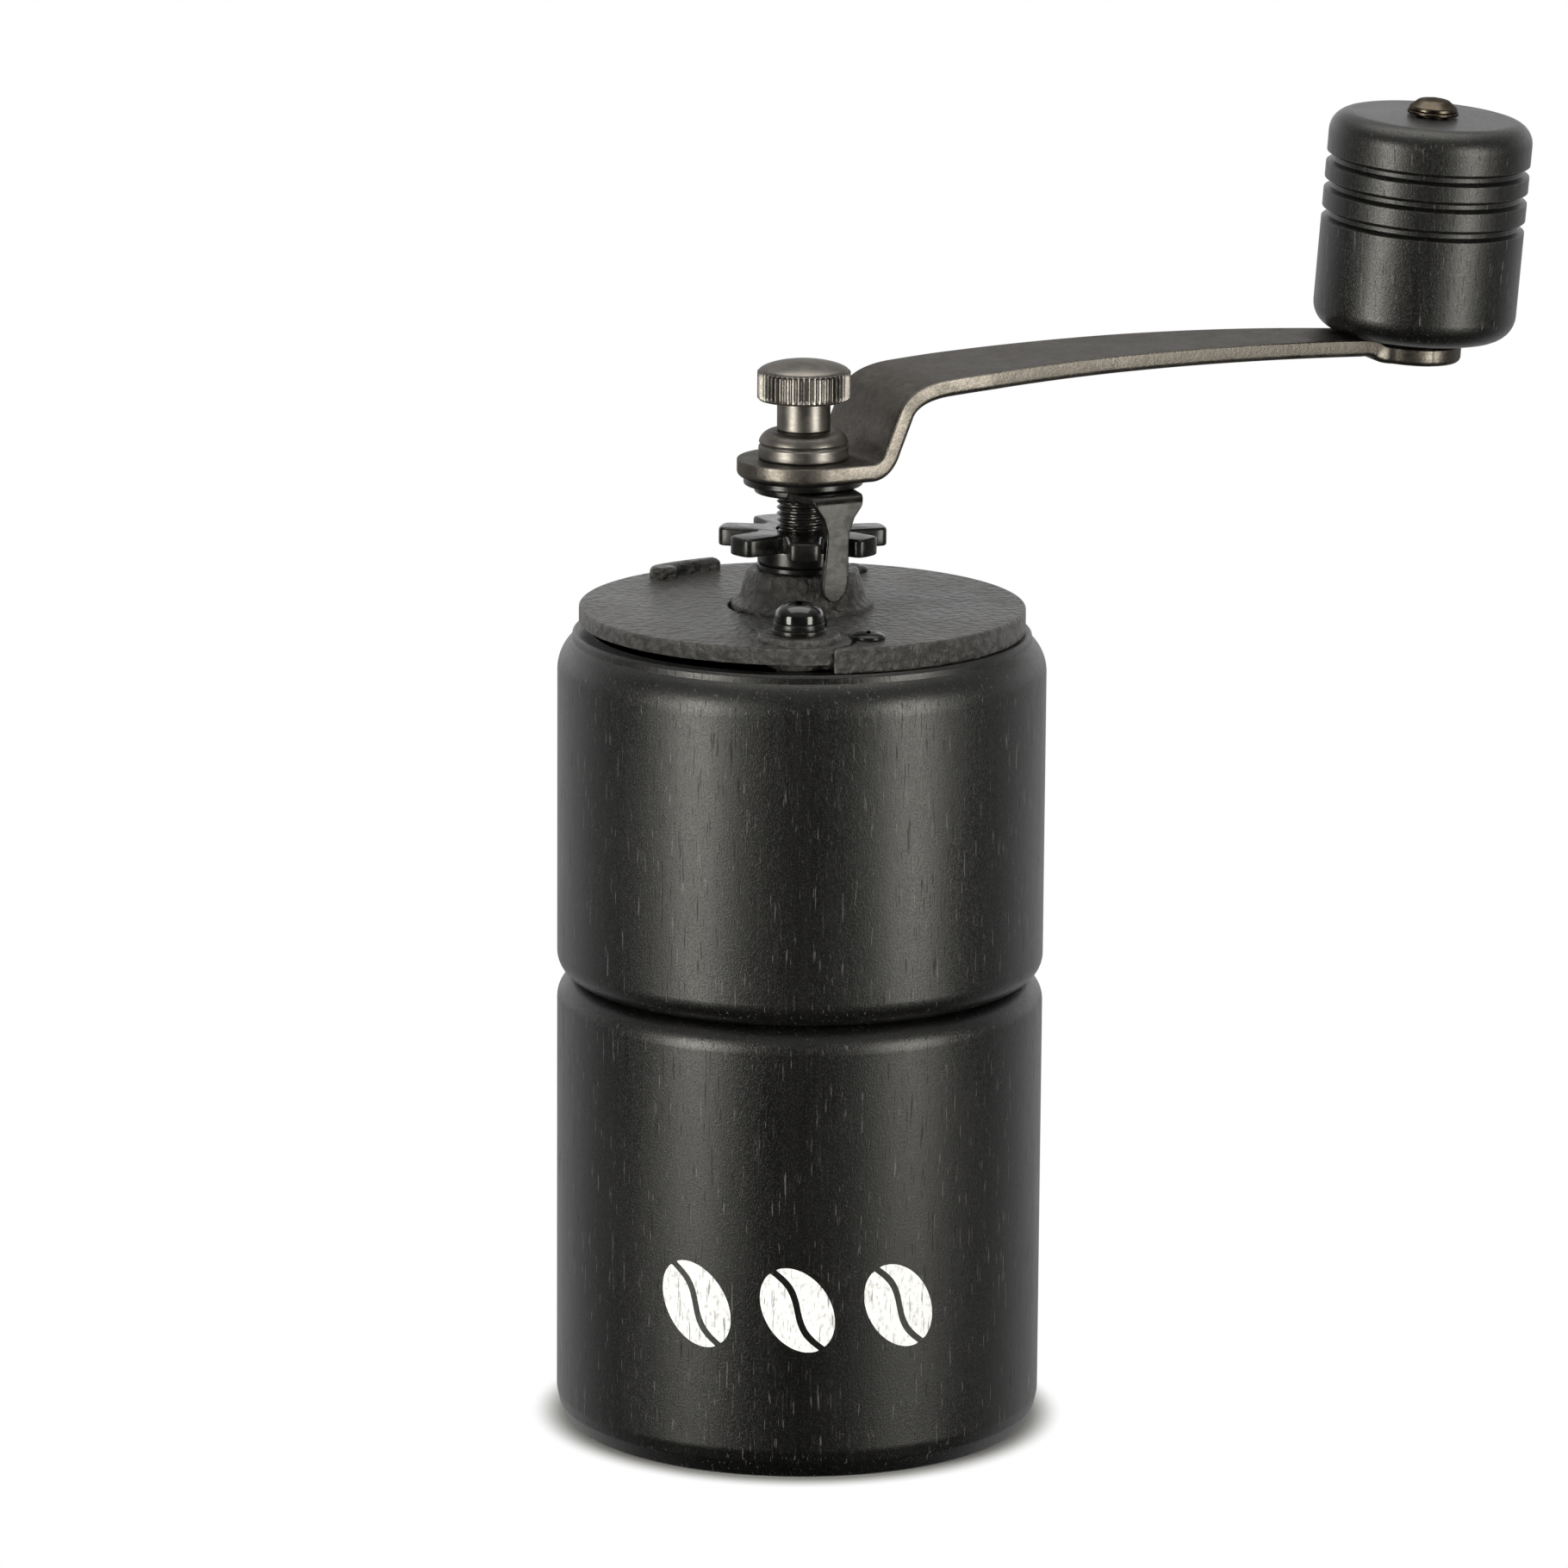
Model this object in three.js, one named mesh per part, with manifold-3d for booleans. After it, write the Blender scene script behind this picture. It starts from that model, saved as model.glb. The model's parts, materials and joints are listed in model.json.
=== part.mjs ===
// Hand crank coffee grinder. A wooden cup catches the grounds, a wooden mill body holds a cast
// hopper and conical burrs, half of the top is a fixed cast plate with the shaft's neck, the other
// half is a swinging hopper lid, and a bent steel crank with a turned wooden knob drives the shaft.
// Millimetres, +Z up, origin at the centre of the cup's flat base.
import * as THREE from 'three';
import { mergeVertices } from 'three/addons/utils/BufferGeometryUtils.js';
import Module from 'manifold-3d';

const wasm = await Module();
wasm.setup();

// ---- clearances ------------------------------------------------------------------------------
const seatGap = 0.05;      // between two faces that rest on each other
const turnedGap = 0.3;     // between faces on the tilted knob pin
const runningFit = 0.2;    // radial, a shaft in a bore
const screwFit = 0.1;      // radial, a screw in its hole
const pushFit = 0.25;      // radial, the mill's spigot in the cup
const castingFit = 0.4;    // radial, a casting in the turned wood

// ---- driving dimensions: wood ----------------------------------------------------------------
const bodyRadius = 40;
const cupHeight = 75;
const upperHeight = 57.65;      // from the seam to the flat top of the wood
const cupWall = 6;
const cupFloor = 8;
const seamFillet = 4;           // round-over on both sides of the seam
const footWidth = 1.7;          // the cup's foot chamfer, across and up
const footHeight = 2.7;
const shoulderRadius = 6.8;
const shoulderAngle = 50;       // degrees of the shoulder's arc below the lip
const spigotDepth = 7;
const topWall = 5.6;            // wood left round the wide upper bore
const throatWall = 11.5;        // wood left round the narrow lower bore
const ledgeDrop = 22.7;         // from the top of the wood to the ledge inside

// ---- driving dimensions: castings and burrs --------------------------------------------------
const frameWall = 2.3;
const flangeThickness = 2.5;
const funnelDrop = 14;          // from the ledge to the foot of the funnel
const burrRadius = 20.5;
const burrHeight = 10;
const burrGap = 1.1;            // between cone and ring at their narrow end
const coneRadius = 11.8;
const spiderHubRadius = 8;
const postRadius = 3.9;
const plateInset = 3.5;         // the plate and the lid are this much smaller than the body
const plateThickness = 4.1;
const lidThickness = 2.7;
const seamOffset = 3.7;         // the seam between plate and lid stands off centre
const lidSeam = 0.4;
const neckFootRadius = 11.6;
const neckBaseRadius = 9.7;
const neckTopRadius = 8.9;
const neckHeight = 6.1;         // above the plate
const pivotInset = 7.5;         // the lid's pivot, in from the plate's edge
const pivotOffset = -0.5;
const padRadius = 6.75;
const padHeight = 1.1;
const ridgeHeight = 2;
const screwSpread = 4.55;       // from the lid's pad to the first plate screw
const screwInset = 4.5;         // from the seam to the second plate screw

// ---- driving dimensions: shaft, star, clip and crank -----------------------------------------
const shaftRadius = 4.3;
const flatsWidth = 6.2;
const starThickness = 3;
const starHubHeight = 5.5;
const starHubRadius = 7.6;
const starTipRadius = 13.8;
const starArms = 7;
const starArmWidth = 5.8;
const exposedThread = 5.95;
const clipThickness = 1.4;
const clipRadius = 8;
const tongueWidth = 4.3;
const tongueReach = 13.1;
const tongueThickness = 1.15;
const armWasherRadius = 9.75;
const armThickness = 2.9;
const crankLength = 116;
const crankAngle = 28;          // degrees from +X
const hubRadius = 10.85;
const eyeRadius = 8.4;
const armRootWidth = 21.4;      // at the top of the ramp
const armRootReach = 29;
const armTipWidth = 8.2;
const kneeRise = 12.95;          // the arm's height after its ramp
const eyeRise = 11;             // the eye's height, lower than the arm by its joggle
const eyeDroop = 2.5;           // degrees, down and outwards
const eyeTwist = 3.5;           // degrees, down on the clockwise side
const domedRadius = 7.35;
const domedHeight = 4.65;
const nutHeadRadius = 7.6;
const nutTeeth = 36;
const collarHeight = 4.95;
const nutHeadHeight = 4.9;
const nutDomeHeight = 1.6;

// ---- driving dimensions: knob ----------------------------------------------------------------
const knobRadius = 17.1;
const knobHeight = 37;
const knobFootFillet = 4.3;
const knobTopFillet = 3.6;
const grooveDepth = 1.2;
const grooveDrops = [8, 12.5, 17.4];    // from the knob's top
const pinRadius = 2.6;
const pinHeadRadius = 4.1;
const pinHeadHeight = 2.2;

// ---- derived levels and radii ----------------------------------------------------------------
const seamLevel = cupHeight + seatGap;
const woodTop = seamLevel + upperHeight;
const ledge = woodTop - ledgeDrop;
const cupBore = bodyRadius - cupWall;
const spigotRadius = cupBore - pushFit;
const topBore = bodyRadius - topWall;
const throatBore = bodyRadius - throatWall;
const plateRadius = bodyRadius - plateInset;
const plateBottom = woodTop + seatGap;
const plateTop = plateBottom + plateThickness;
const lidBottom = plateTop - lidThickness;
const neckTop = plateTop + neckHeight;
const pivotY = pivotInset - plateRadius;
const frameBottom = ledge - funnelDrop - 3;
const burrTop = frameBottom - seatGap;
const burrBottom = burrTop - burrHeight;
const shaftBore = shaftRadius + runningFit;
const lowerShaftRadius = shaftRadius - 0.4;
const keyRadius = shaftRadius - 0.3;
const topThreadRadius = flatsWidth / 2 - 0.1;  // so what is keyed slides off over the thread
const washerBottom = neckTop + seatGap;
const washerTop = washerBottom + 0.9;
const starBottom = washerTop + seatGap;
const starTop = starBottom + starHubHeight;
const shoulderLevel = starTop + exposedThread;
const clipBottom = shoulderLevel + seatGap;
const clipTop = clipBottom + clipThickness;
const armWasherBottom = clipTop + seatGap;
const armWasherTop = armWasherBottom + 1.25;
const armBottom = armWasherTop + seatGap;
const armTop = armBottom + armThickness;
const domedBottom = armTop + seatGap;
const domedTop = domedBottom + domedHeight;
const nutBottom = domedTop + seatGap;
const collarTop = nutBottom + collarHeight;
const nutHeadTop = collarTop + nutHeadHeight;
const keyTop = armTop + seatGap / 2;
const shaftTop = nutHeadTop - 1;
const tongueAngle = -91;                       // degrees from the crank arm
const tongueBottom = neckTop - 3.4;
const postRing = topBore - postRadius - 0.8;
const degrees = THREE.MathUtils.radToDeg;
const pivotAngle = degrees(Math.atan2(pivotY, pivotOffset));
const postAngles = [
  pivotAngle + degrees(2 * Math.asin((padRadius + screwSpread) / (2 * postRing))),
  degrees(Math.acos((seamOffset + screwInset) / postRing)),
];

// ---- helpers ---------------------------------------------------------------------------------
const radians = THREE.MathUtils.degToRad;

function signedVolume(positions, triangles) {
  const [a, b, c] = [new THREE.Vector3(), new THREE.Vector3(), new THREE.Vector3()];
  let volume = 0;
  for (let i = 0; i < triangles.length; i += 3) {
    a.fromArray(positions, 3 * triangles[i]);
    b.fromArray(positions, 3 * triangles[i + 1]);
    c.fromArray(positions, 3 * triangles[i + 2]);
    volume += a.dot(b.cross(c)) / 6;
  }
  return volume;
}

// A closed geometry as a solid: vertices merged, empty triangles dropped, faces turned outwards.
function solid(geometry) {
  geometry.deleteAttribute('normal');
  geometry.deleteAttribute('uv');
  const merged = mergeVertices(geometry, 1e-4);
  const positions = merged.attributes.position.array;
  const index = merged.index.array;
  const triangles = [];
  for (let i = 0; i < index.length; i += 3) {
    const [a, b, c] = [index[i], index[i + 1], index[i + 2]];
    if (a !== b && b !== c && c !== a) triangles.push(a, b, c);
  }
  if (signedVolume(positions, triangles) < 0) triangles.reverse();
  const mesh = new wasm.Mesh({
    numProp: 3,
    vertProperties: new Float32Array(positions),
    triVerts: new Uint32Array(triangles),
  });
  return new wasm.Manifold(mesh);
}

function geometryOf(manifold) {
  const mesh = manifold.getMesh();
  const geometry = new THREE.BufferGeometry();
  geometry.setAttribute('position', new THREE.BufferAttribute(mesh.vertProperties, 3));
  geometry.setIndex(new THREE.BufferAttribute(mesh.triVerts, 1));
  geometry.computeVertexNormals();
  return geometry;
}

function arc(x, y, radius, fromDegrees, toDegrees, steps) {
  const points = [];
  for (let i = 0; i <= steps; i += 1) {
    const angle = radians(fromDegrees + ((toDegrees - fromDegrees) * i) / steps);
    points.push([x + radius * Math.cos(angle), y + radius * Math.sin(angle)]);
  }
  return points;
}

// Turns a closed outline of [radius, height] points about the Z axis.
function turned(outline, segments = 24) {
  const points = [...outline, outline[0]].map(([radius, height]) => new THREE.Vector2(radius, height));
  return solid(new THREE.LatheGeometry(points, segments).rotateX(Math.PI / 2));
}

function tube(inner, outer, low, high, segments = 24) {
  return turned([[inner, low], [outer, low], [outer, high], [inner, high]], segments);
}

function rod(radius, low, high, segments = 24) {
  return solid(new THREE.CylinderGeometry(radius, radius, high - low, segments)
    .rotateX(Math.PI / 2)
    .translate(0, 0, (low + high) / 2));
}

function box(xLow, xHigh, yLow, yHigh, zLow, zHigh) {
  return solid(new THREE.BoxGeometry(xHigh - xLow, yHigh - yLow, zHigh - zLow)
    .translate((xLow + xHigh) / 2, (yLow + yHigh) / 2, (zLow + zHigh) / 2));
}

// A flat outline of [x, y] points made into a plate between two levels.
function plate(outline, low, high) {
  const shape = new THREE.Shape(outline.map(([x, y]) => new THREE.Vector2(x, y)));
  return solid(new THREE.ExtrudeGeometry(shape, { depth: high - low, bevelEnabled: false })
    .translate(0, 0, low));
}

function onCircle(radius, degrees) {
  return [radius * Math.cos(radians(degrees)), radius * Math.sin(radians(degrees))];
}

function turnedBy(manifold, degrees) {
  return manifold.rotate([0, 0, degrees]);
}

function material(color, roughness, metalness) {
  return new THREE.MeshStandardMaterial({ color, roughness, metalness });
}

function add(parent, name, manifold, finish) {
  const mesh = new THREE.Mesh(geometryOf(manifold), finish());
  mesh.name = name;
  parent.add(mesh);
}

const stainedWood = () => material(0x1d1c1b, 0.45, 0);
const castIron = () => material(0x2a2a2b, 0.6, 0.4);
const blackNickel = () => material(0x55524e, 0.35, 0.9);
const darkNickel = () => material(0x60605e, 0.3, 0.9);
const blackGloss = () => material(0x101012, 0.15, 0.5);
const blackSteel = () => material(0x1f1f22, 0.4, 0.6);
const clipSteel = () => material(0x34332f, 0.4, 0.8);
const bronzeSteel = () => material(0x4f463c, 0.3, 0.9);
const plainSteel = () => material(0x8f8f8d, 0.35, 0.9);

// ---- the wooden cup and mill body ------------------------------------------------------------
function groundsCup() {
  const filletCentre = bodyRadius - seamFillet;
  return turned([
    [0, 0],
    [bodyRadius - footWidth, 0],
    [bodyRadius - 0.4, footHeight],
    [bodyRadius, footHeight + 1.9],
    ...arc(filletCentre, cupHeight - seamFillet, seamFillet, 0, 90, 5),
    [cupBore, cupHeight],
    [cupBore, cupFloor + 3],
    [cupBore - 0.9, cupFloor + 0.9],
    [cupBore - 3, cupFloor],
    [0, cupFloor],
  ], 44);
}

function frameScrewPlace(index) {
  return onCircle((topBore + throatBore) / 2 - 0.2, 120 * index);
}

function upperBody() {
  const filletCentre = bodyRadius - seamFillet;
  const shoulder = arc(bodyRadius - shoulderRadius, 0, shoulderRadius, 0, shoulderAngle, 5);
  const lipRadius = shoulder.at(-1)[0];
  const shoulderBase = woodTop - 1.4 - shoulder.at(-1)[1];
  const outline = [
    [throatBore, seamLevel - spigotDepth],
    [spigotRadius - 1, seamLevel - spigotDepth],
    [spigotRadius, seamLevel - spigotDepth + 1],
    [spigotRadius, seamLevel],
    ...arc(filletCentre, seamLevel + seamFillet, seamFillet, -90, 0, 5),
    ...shoulder.map(([radius, height]) => [radius, shoulderBase + height]),
    [lipRadius, woodTop - 0.5],
    [lipRadius - 0.4, woodTop],
    [topBore, woodTop],
    [topBore, ledge],
    [throatBore, ledge],
  ];
  let body = turned(outline, 44);
  for (let i = 0; i < 3; i += 1) {
    const [x, y] = frameScrewPlace(i);
    body = body.subtract(rod(1.5 + screwFit, ledge - 9, ledge + 1, 12).translate([x, y, 0]));
  }
  return body;
}

// ---- the cast hopper frame, with its spider, posts and screws --------------------------------
function spider(low, high, innerWall) {
  let arms = rod(spiderHubRadius, low - 1, high + 4, 24);
  for (const angle of [30, 150, 270]) {
    arms = arms.add(turnedBy(box(2, innerWall, -2, 2, low, high), angle));
  }
  return arms;
}

function hopperFrame() {
  const flangeRadius = topBore - castingFit;
  const funnelTop = throatBore - castingFit;
  const funnelMouth = topBore - 8.2;
  const foot = burrRadius - 6.4;
  const flangeLow = ledge + seatGap;
  const flangeHigh = flangeLow + flangeThickness;
  const outline = [
    [foot, frameBottom],
    [burrRadius, frameBottom],
    [burrRadius, frameBottom + 3],
    [foot + frameWall + 1.7, frameBottom + 4],
    [funnelTop, ledge - 1],
    [funnelTop, flangeLow],
    [flangeRadius, flangeLow],
    [flangeRadius, flangeHigh],
    [funnelMouth, flangeHigh],
    [funnelMouth - 0.8, ledge],
    [foot, frameBottom + 3.3],
  ];
  let frame = turned(outline, 32);
  const spiderLow = frameBottom + 6;
  frame = frame.add(spider(spiderLow, spiderLow + 3, foot + 4.9));
  frame = frame.subtract(rod(lowerShaftRadius + runningFit, spiderLow - 5, ledge, 24));
  for (const angle of postAngles) {
    const [x, y] = onCircle(postRing, angle);
    frame = frame.add(rod(postRadius, flangeHigh - 1, plateBottom - seatGap, 16).translate([x, y, 0]));
    frame = frame.subtract(rod(1.7 + screwFit, plateBottom - 11, plateTop, 12).translate([x, y, 0]));
  }
  for (let i = 0; i < 3; i += 1) {
    const [x, y] = frameScrewPlace(i);
    frame = frame.subtract(rod(1.5 + screwFit, ledge - 2, flangeHigh + 1, 12).translate([x, y, 0]));
    const [u, v] = burrScrewPlace(i);
    frame = frame.subtract(rod(1.4 + screwFit, frameBottom - 1, frameBottom + 2.6, 12).translate([u, v, 0]));
  }
  return frame;
}

function frameScrew() {
  const seat = ledge + seatGap + flangeThickness + seatGap;
  return turned([
    [0, ledge - 8.5], [1.5, ledge - 7.5], [1.5, seat], [2.7, seat], [2.5, seat + 1], [1.3, seat + 1.7],
    [0, seat + 1.8],
  ], 12);
}

// ---- the burrs -------------------------------------------------------------------------------
function burrScrewPlace(index) {
  return onCircle(burrRadius - 3.4, 90 + 120 * index);
}

function ringBurr() {
  const narrow = coneRadius + burrGap;
  let ring = turned([
    [narrow, burrBottom], [burrRadius, burrBottom], [burrRadius, burrTop], [narrow + 1, burrTop],
  ], 32);
  for (let i = 0; i < 3; i += 1) {
    const [x, y] = burrScrewPlace(i);
    ring = ring.subtract(rod(1.4 + screwFit, burrBottom - 1, burrTop + 1, 12).translate([x, y, 0]));
  }
  return ring;
}

function burrScrew() {
  const seat = burrBottom - seatGap;
  return turned([
    [0, seat - 1.8], [1.6, seat - 1.6], [2.5, seat], [1.4, seat], [1.4, frameBottom + 2.2], [0, frameBottom + 2.2],
  ], 16);
}

function coneBurr() {
  const bore = lowerShaftRadius + screwFit;
  return turned([
    [bore, burrBottom - 0.5], [coneRadius, burrBottom - 0.5], [coneRadius, burrBottom + 1.5],
    [6.6, burrTop], [bore, burrTop],
  ], 36);
}

function burrSpring() {
  const low = burrTop + 0.5;
  const high = frameBottom + 5 - 0.5;
  const turns = 2.5;
  const coilRadius = lowerShaftRadius + 2;
  const points = [];
  for (let i = 0; i <= 30; i += 1) {
    const share = i / 30;
    const [x, y] = onCircle(coilRadius, 360 * turns * share);
    points.push(new THREE.Vector3(x, y, low + 0.5 + (high - low - 1) * share));
  }
  const section = new THREE.Shape(arc(0, 0, 0.5, 0, 300, 5).map(([x, y]) => new THREE.Vector2(x, y)));
  const path = new THREE.CatmullRomCurve3(points);
  return solid(new THREE.ExtrudeGeometry(section, { steps: 30, extrudePath: path, bevelEnabled: false }));
}

// ---- the fixed plate with the neck, and its screws -------------------------------------------
function topPlate() {
  const disc = rod(plateRadius, plateBottom, plateTop, 48);
  const seam = seamOffset + lidSeam / 2;
  let half = disc.intersect(box(seam, 2 * bodyRadius, -bodyRadius, bodyRadius, 0, 2 * woodTop));
  const lugTop = lidBottom - 0.1;
  const relief = rod(padRadius + 2.35, lugTop, plateTop + 1, 32).translate([pivotOffset, pivotY, 0]);
  half = half.subtract(relief);
  const lug = rod(5.2, plateBottom, lugTop, 24)
    .add(rod(3.6, plateBottom - 7, lugTop, 24))
    .translate([pivotOffset, pivotY, 0]);
  const tab = box(pivotOffset, seam + 2, pivotY - 3.6, pivotY + 3.6, plateBottom, lugTop);
  const neck = turned([
    [0, plateBottom - 3], [neckBaseRadius, plateBottom - 3], [neckFootRadius, plateBottom],
    [neckFootRadius, plateTop + 0.4], [neckBaseRadius + 0.3, plateTop + 1.5],
    [neckBaseRadius - 0.1, plateTop + 2.4], [neckTopRadius, neckTop], [0, neckTop],
  ], 32);
  half = half.add(lug).add(tab).add(neck);
  half = half.subtract(rod(shaftBore, plateBottom - 5, neckTop + 1, 32));
  half = half.subtract(rod(2 + screwFit, plateBottom - 9, plateTop, 16).translate([pivotOffset, pivotY, 0]));
  for (const angle of postAngles) {
    const [x, y] = onCircle(postRing, angle);
    half = half.subtract(rod(1.7 + screwFit, plateBottom - 1, plateTop + 1, 12).translate([x, y, 0]));
  }
  return half;
}

function plateScrew() {
  const seat = plateTop + seatGap;
  return turned([
    [0, plateBottom - 9], [1.7, plateBottom - 8], [1.7, seat], [2.7, seat], [2.6, seat + 0.4],
    [1.6, seat + 0.9], [0, seat + 1.1],
  ], 16);
}

// ---- the swinging lid and its pivot stack ----------------------------------------------------
function hopperLid() {
  const seam = seamOffset - lidSeam / 2;
  const disc = rod(plateRadius, lidBottom, plateTop, 48);
  const heel = rod(padRadius + 1.85, 0, 2 * woodTop, 32).translate([pivotOffset, pivotY, 0]);
  const reach = box(-2 * bodyRadius, seam, -bodyRadius, bodyRadius, 0, 2 * woodTop).add(heel);
  let lid = disc.intersect(reach);
  lid = lid.subtract(rod(neckFootRadius + 0.6, 0, 2 * woodTop, 40));
  for (const swing of [-6, -12]) {
    const passingNeck = rod(neckFootRadius + 0.25, 0, 2 * woodTop, 40).translate([-pivotOffset, -pivotY, 0]);
    lid = lid.subtract(turnedBy(passingNeck, swing).translate([pivotOffset, pivotY, 0]));
  }
  lid = lid.add(rod(padRadius, lidBottom, plateTop + padHeight, 28).translate([pivotOffset, pivotY, 0]));
  const ridgeRadius = plateRadius - 4;
  const ridge = plate([
    ...arc(0, 0, ridgeRadius + 1.25, 116, 138, 6),
    ...arc(0, 0, ridgeRadius - 1.25, 138, 116, 6),
  ], lidBottom + 1, plateTop + ridgeHeight);
  const [x, y] = onCircle(ridgeRadius - 1, 137);
  lid = lid.add(ridge).add(rod(2.3, lidBottom + 1, plateTop + ridgeHeight, 14).translate([x, y, 0]));
  return lid.subtract(rod(2 + runningFit, 0, 2 * woodTop, 16).translate([pivotOffset, pivotY, 0]));
}

const pivotWasherBottom = plateTop + padHeight + seatGap;
const springWasherBottom = pivotWasherBottom + 0.8 + seatGap;
const pivotHeadBottom = springWasherBottom + 1 + seatGap;

function lidWasher() {
  return tube(2 + runningFit, 4.3, pivotWasherBottom, pivotWasherBottom + 0.8, 20);
}

function lidSpringWasher() {
  const ring = tube(2 + runningFit, 4.1, springWasherBottom, springWasherBottom + 1, 20);
  return ring.subtract(box(1, 6, -0.35, 0.35, springWasherBottom - 1, springWasherBottom + 2));
}

function lidScrew() {
  return turned([
    [0, plateBottom - 8], [1.4, plateBottom - 8], [2, plateBottom - 7.2], [2, pivotHeadBottom],
    [3.9, pivotHeadBottom], [3.9, pivotHeadBottom + 1.1], [3.3, pivotHeadBottom + 2.4],
    [1.9, pivotHeadBottom + 3], [0, pivotHeadBottom + 3.2],
  ], 20);
}

// ---- the shaft and what is keyed to it -------------------------------------------------------
// The keyed stretch is a round bar with two flats. grow widens it into the hole that takes it.
function keyed(grow, low, high) {
  const radius = keyRadius + grow;
  const half = flatsWidth / 2 + grow;
  return rod(radius, low, high, 28).intersect(box(-2 * radius, 2 * radius, -half, half, low, high));
}

function shaft() {
  const low = burrBottom - 8;
  return rod(lowerShaftRadius, low, frameBottom + 16, 28)
    .add(rod(shaftRadius, frameBottom + 15, shoulderLevel, 28))
    .add(keyed(0, shoulderLevel - 1, keyTop))
    .add(rod(topThreadRadius, keyTop, shaftTop, 24));
}

function burrWasher() {
  const top = burrBottom - 0.5 - seatGap;
  return tube(lowerShaftRadius + screwFit, 6.5, top - 1, top, 20);
}

function burrNut() {
  const top = burrBottom - 0.5 - 2 * seatGap - 1;
  const acrossCorners = lowerShaftRadius + 3.6;
  return rod(acrossCorners, top - 4, top, 6).subtract(rod(lowerShaftRadius + screwFit, top - 5, top + 1, 24));
}

function adjustingStar() {
  const pitch = 360 / starArms;
  let star = rod(starHubRadius, starBottom, starTop, 35);
  for (let i = 0; i < starArms; i += 1) {
    const tip = starTipRadius - 1.2;
    const arm = plate([
      [0, -starArmWidth / 2], [tip, -starArmWidth / 2],
      ...arc(tip, 1.2 - starArmWidth / 2, 1.2, -60, 0, 2),
      ...arc(tip, starArmWidth / 2 - 1.2, 1.2, 0, 60, 2),
      [tip, starArmWidth / 2], [0, starArmWidth / 2],
    ], starTop - starThickness, starTop);
    star = star.add(turnedBy(arm, tongueAngle + pitch * (i + 0.5)));
  }
  return star.subtract(rod(shaftBore, starBottom - 1, starTop + 1, 32));
}

function lockClip() {
  const tab = plate([
    [0, -6], [clipRadius - 1, -5.5], [tongueReach - 2, -tongueWidth / 2], [tongueReach, -tongueWidth / 2],
    [tongueReach, tongueWidth / 2], [tongueReach - 2, tongueWidth / 2], [clipRadius - 1, 5.5], [0, 6],
  ], clipBottom, clipTop);
  const tipRadius = tongueWidth / 2;
  const tongueOutline = [
    [-tipRadius, clipTop], ...arc(0, tongueBottom + tipRadius, tipRadius, 180, 360, 8), [tipRadius, clipTop],
  ];
  const tongue = plate(tongueOutline, 0, tongueThickness)
    .rotate([90, 0, 0])
    .rotate([0, 0, 90])
    .translate([tongueReach - tongueThickness, 0, 0]);
  const clip = rod(clipRadius, clipBottom, clipTop, 32).add(tab).add(tongue);
  return turnedBy(clip, tongueAngle).subtract(keyed(screwFit, clipBottom - 1, clipTop + 1));
}

// ---- the crank arm ---------------------------------------------------------------------------
// The arm's upper line seen from the side: flat hub, steep ramp, long low arch, joggle, eye.
function armLine() {
  const droop = Math.tan(radians(eyeDroop));
  const rampStart = domedRadius - 0.1;
  const kneeEnd = rampStart + 14;
  const archEnd = crankLength - 11;
  const archEndRise = eyeRise + 1.3 + 11 * droop;
  const eyeStart = crankLength - 6.5;
  const line = new THREE.Path();
  line.moveTo(-hubRadius - 2, 0);
  line.lineTo(rampStart, 0);
  line.quadraticCurveTo(rampStart + 1.6, 0, rampStart + 2.5, 0.2 * kneeRise);
  line.lineTo(rampStart + 5, 0.66 * kneeRise);
  line.quadraticCurveTo(rampStart + 7, kneeRise - 0.6, kneeEnd, kneeRise);
  line.quadraticCurveTo((kneeEnd + archEnd) / 2 - 3, kneeRise + 2.9, archEnd, archEndRise);
  line.quadraticCurveTo(archEnd + 1.6, archEndRise - 0.4, (archEnd + eyeStart) / 2, eyeRise + 0.65 + 9 * droop);
  line.quadraticCurveTo(eyeStart - 1.6, eyeRise + 7 * droop, eyeStart, eyeRise + 6.5 * droop);
  line.lineTo(crankLength + 12, eyeRise - 12 * droop);
  return line.getPoints(6);
}

// The same line moved down by the arm's thickness, square to itself.
function offsetLine(points, distance) {
  return points.map((point, i) => {
    const before = points[Math.max(i - 1, 0)];
    const after = points[Math.min(i + 1, points.length - 1)];
    const along = after.clone().sub(before).normalize();
    return new THREE.Vector2(point.x + distance * along.y, point.y - distance * along.x);
  });
}

// Lets the clockwise side of the arm sink little by little towards the eye.
function twistArm(geometry) {
  const position = geometry.attributes.position;
  for (let i = 0; i < position.count; i += 1) {
    const share = THREE.MathUtils.smoothstep(position.getX(i), 20, crankLength - 11);
    const sink = position.getY(i) * Math.tan(radians(eyeTwist)) * share;
    position.setZ(i, position.getZ(i) + sink);
  }
  return geometry;
}

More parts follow.
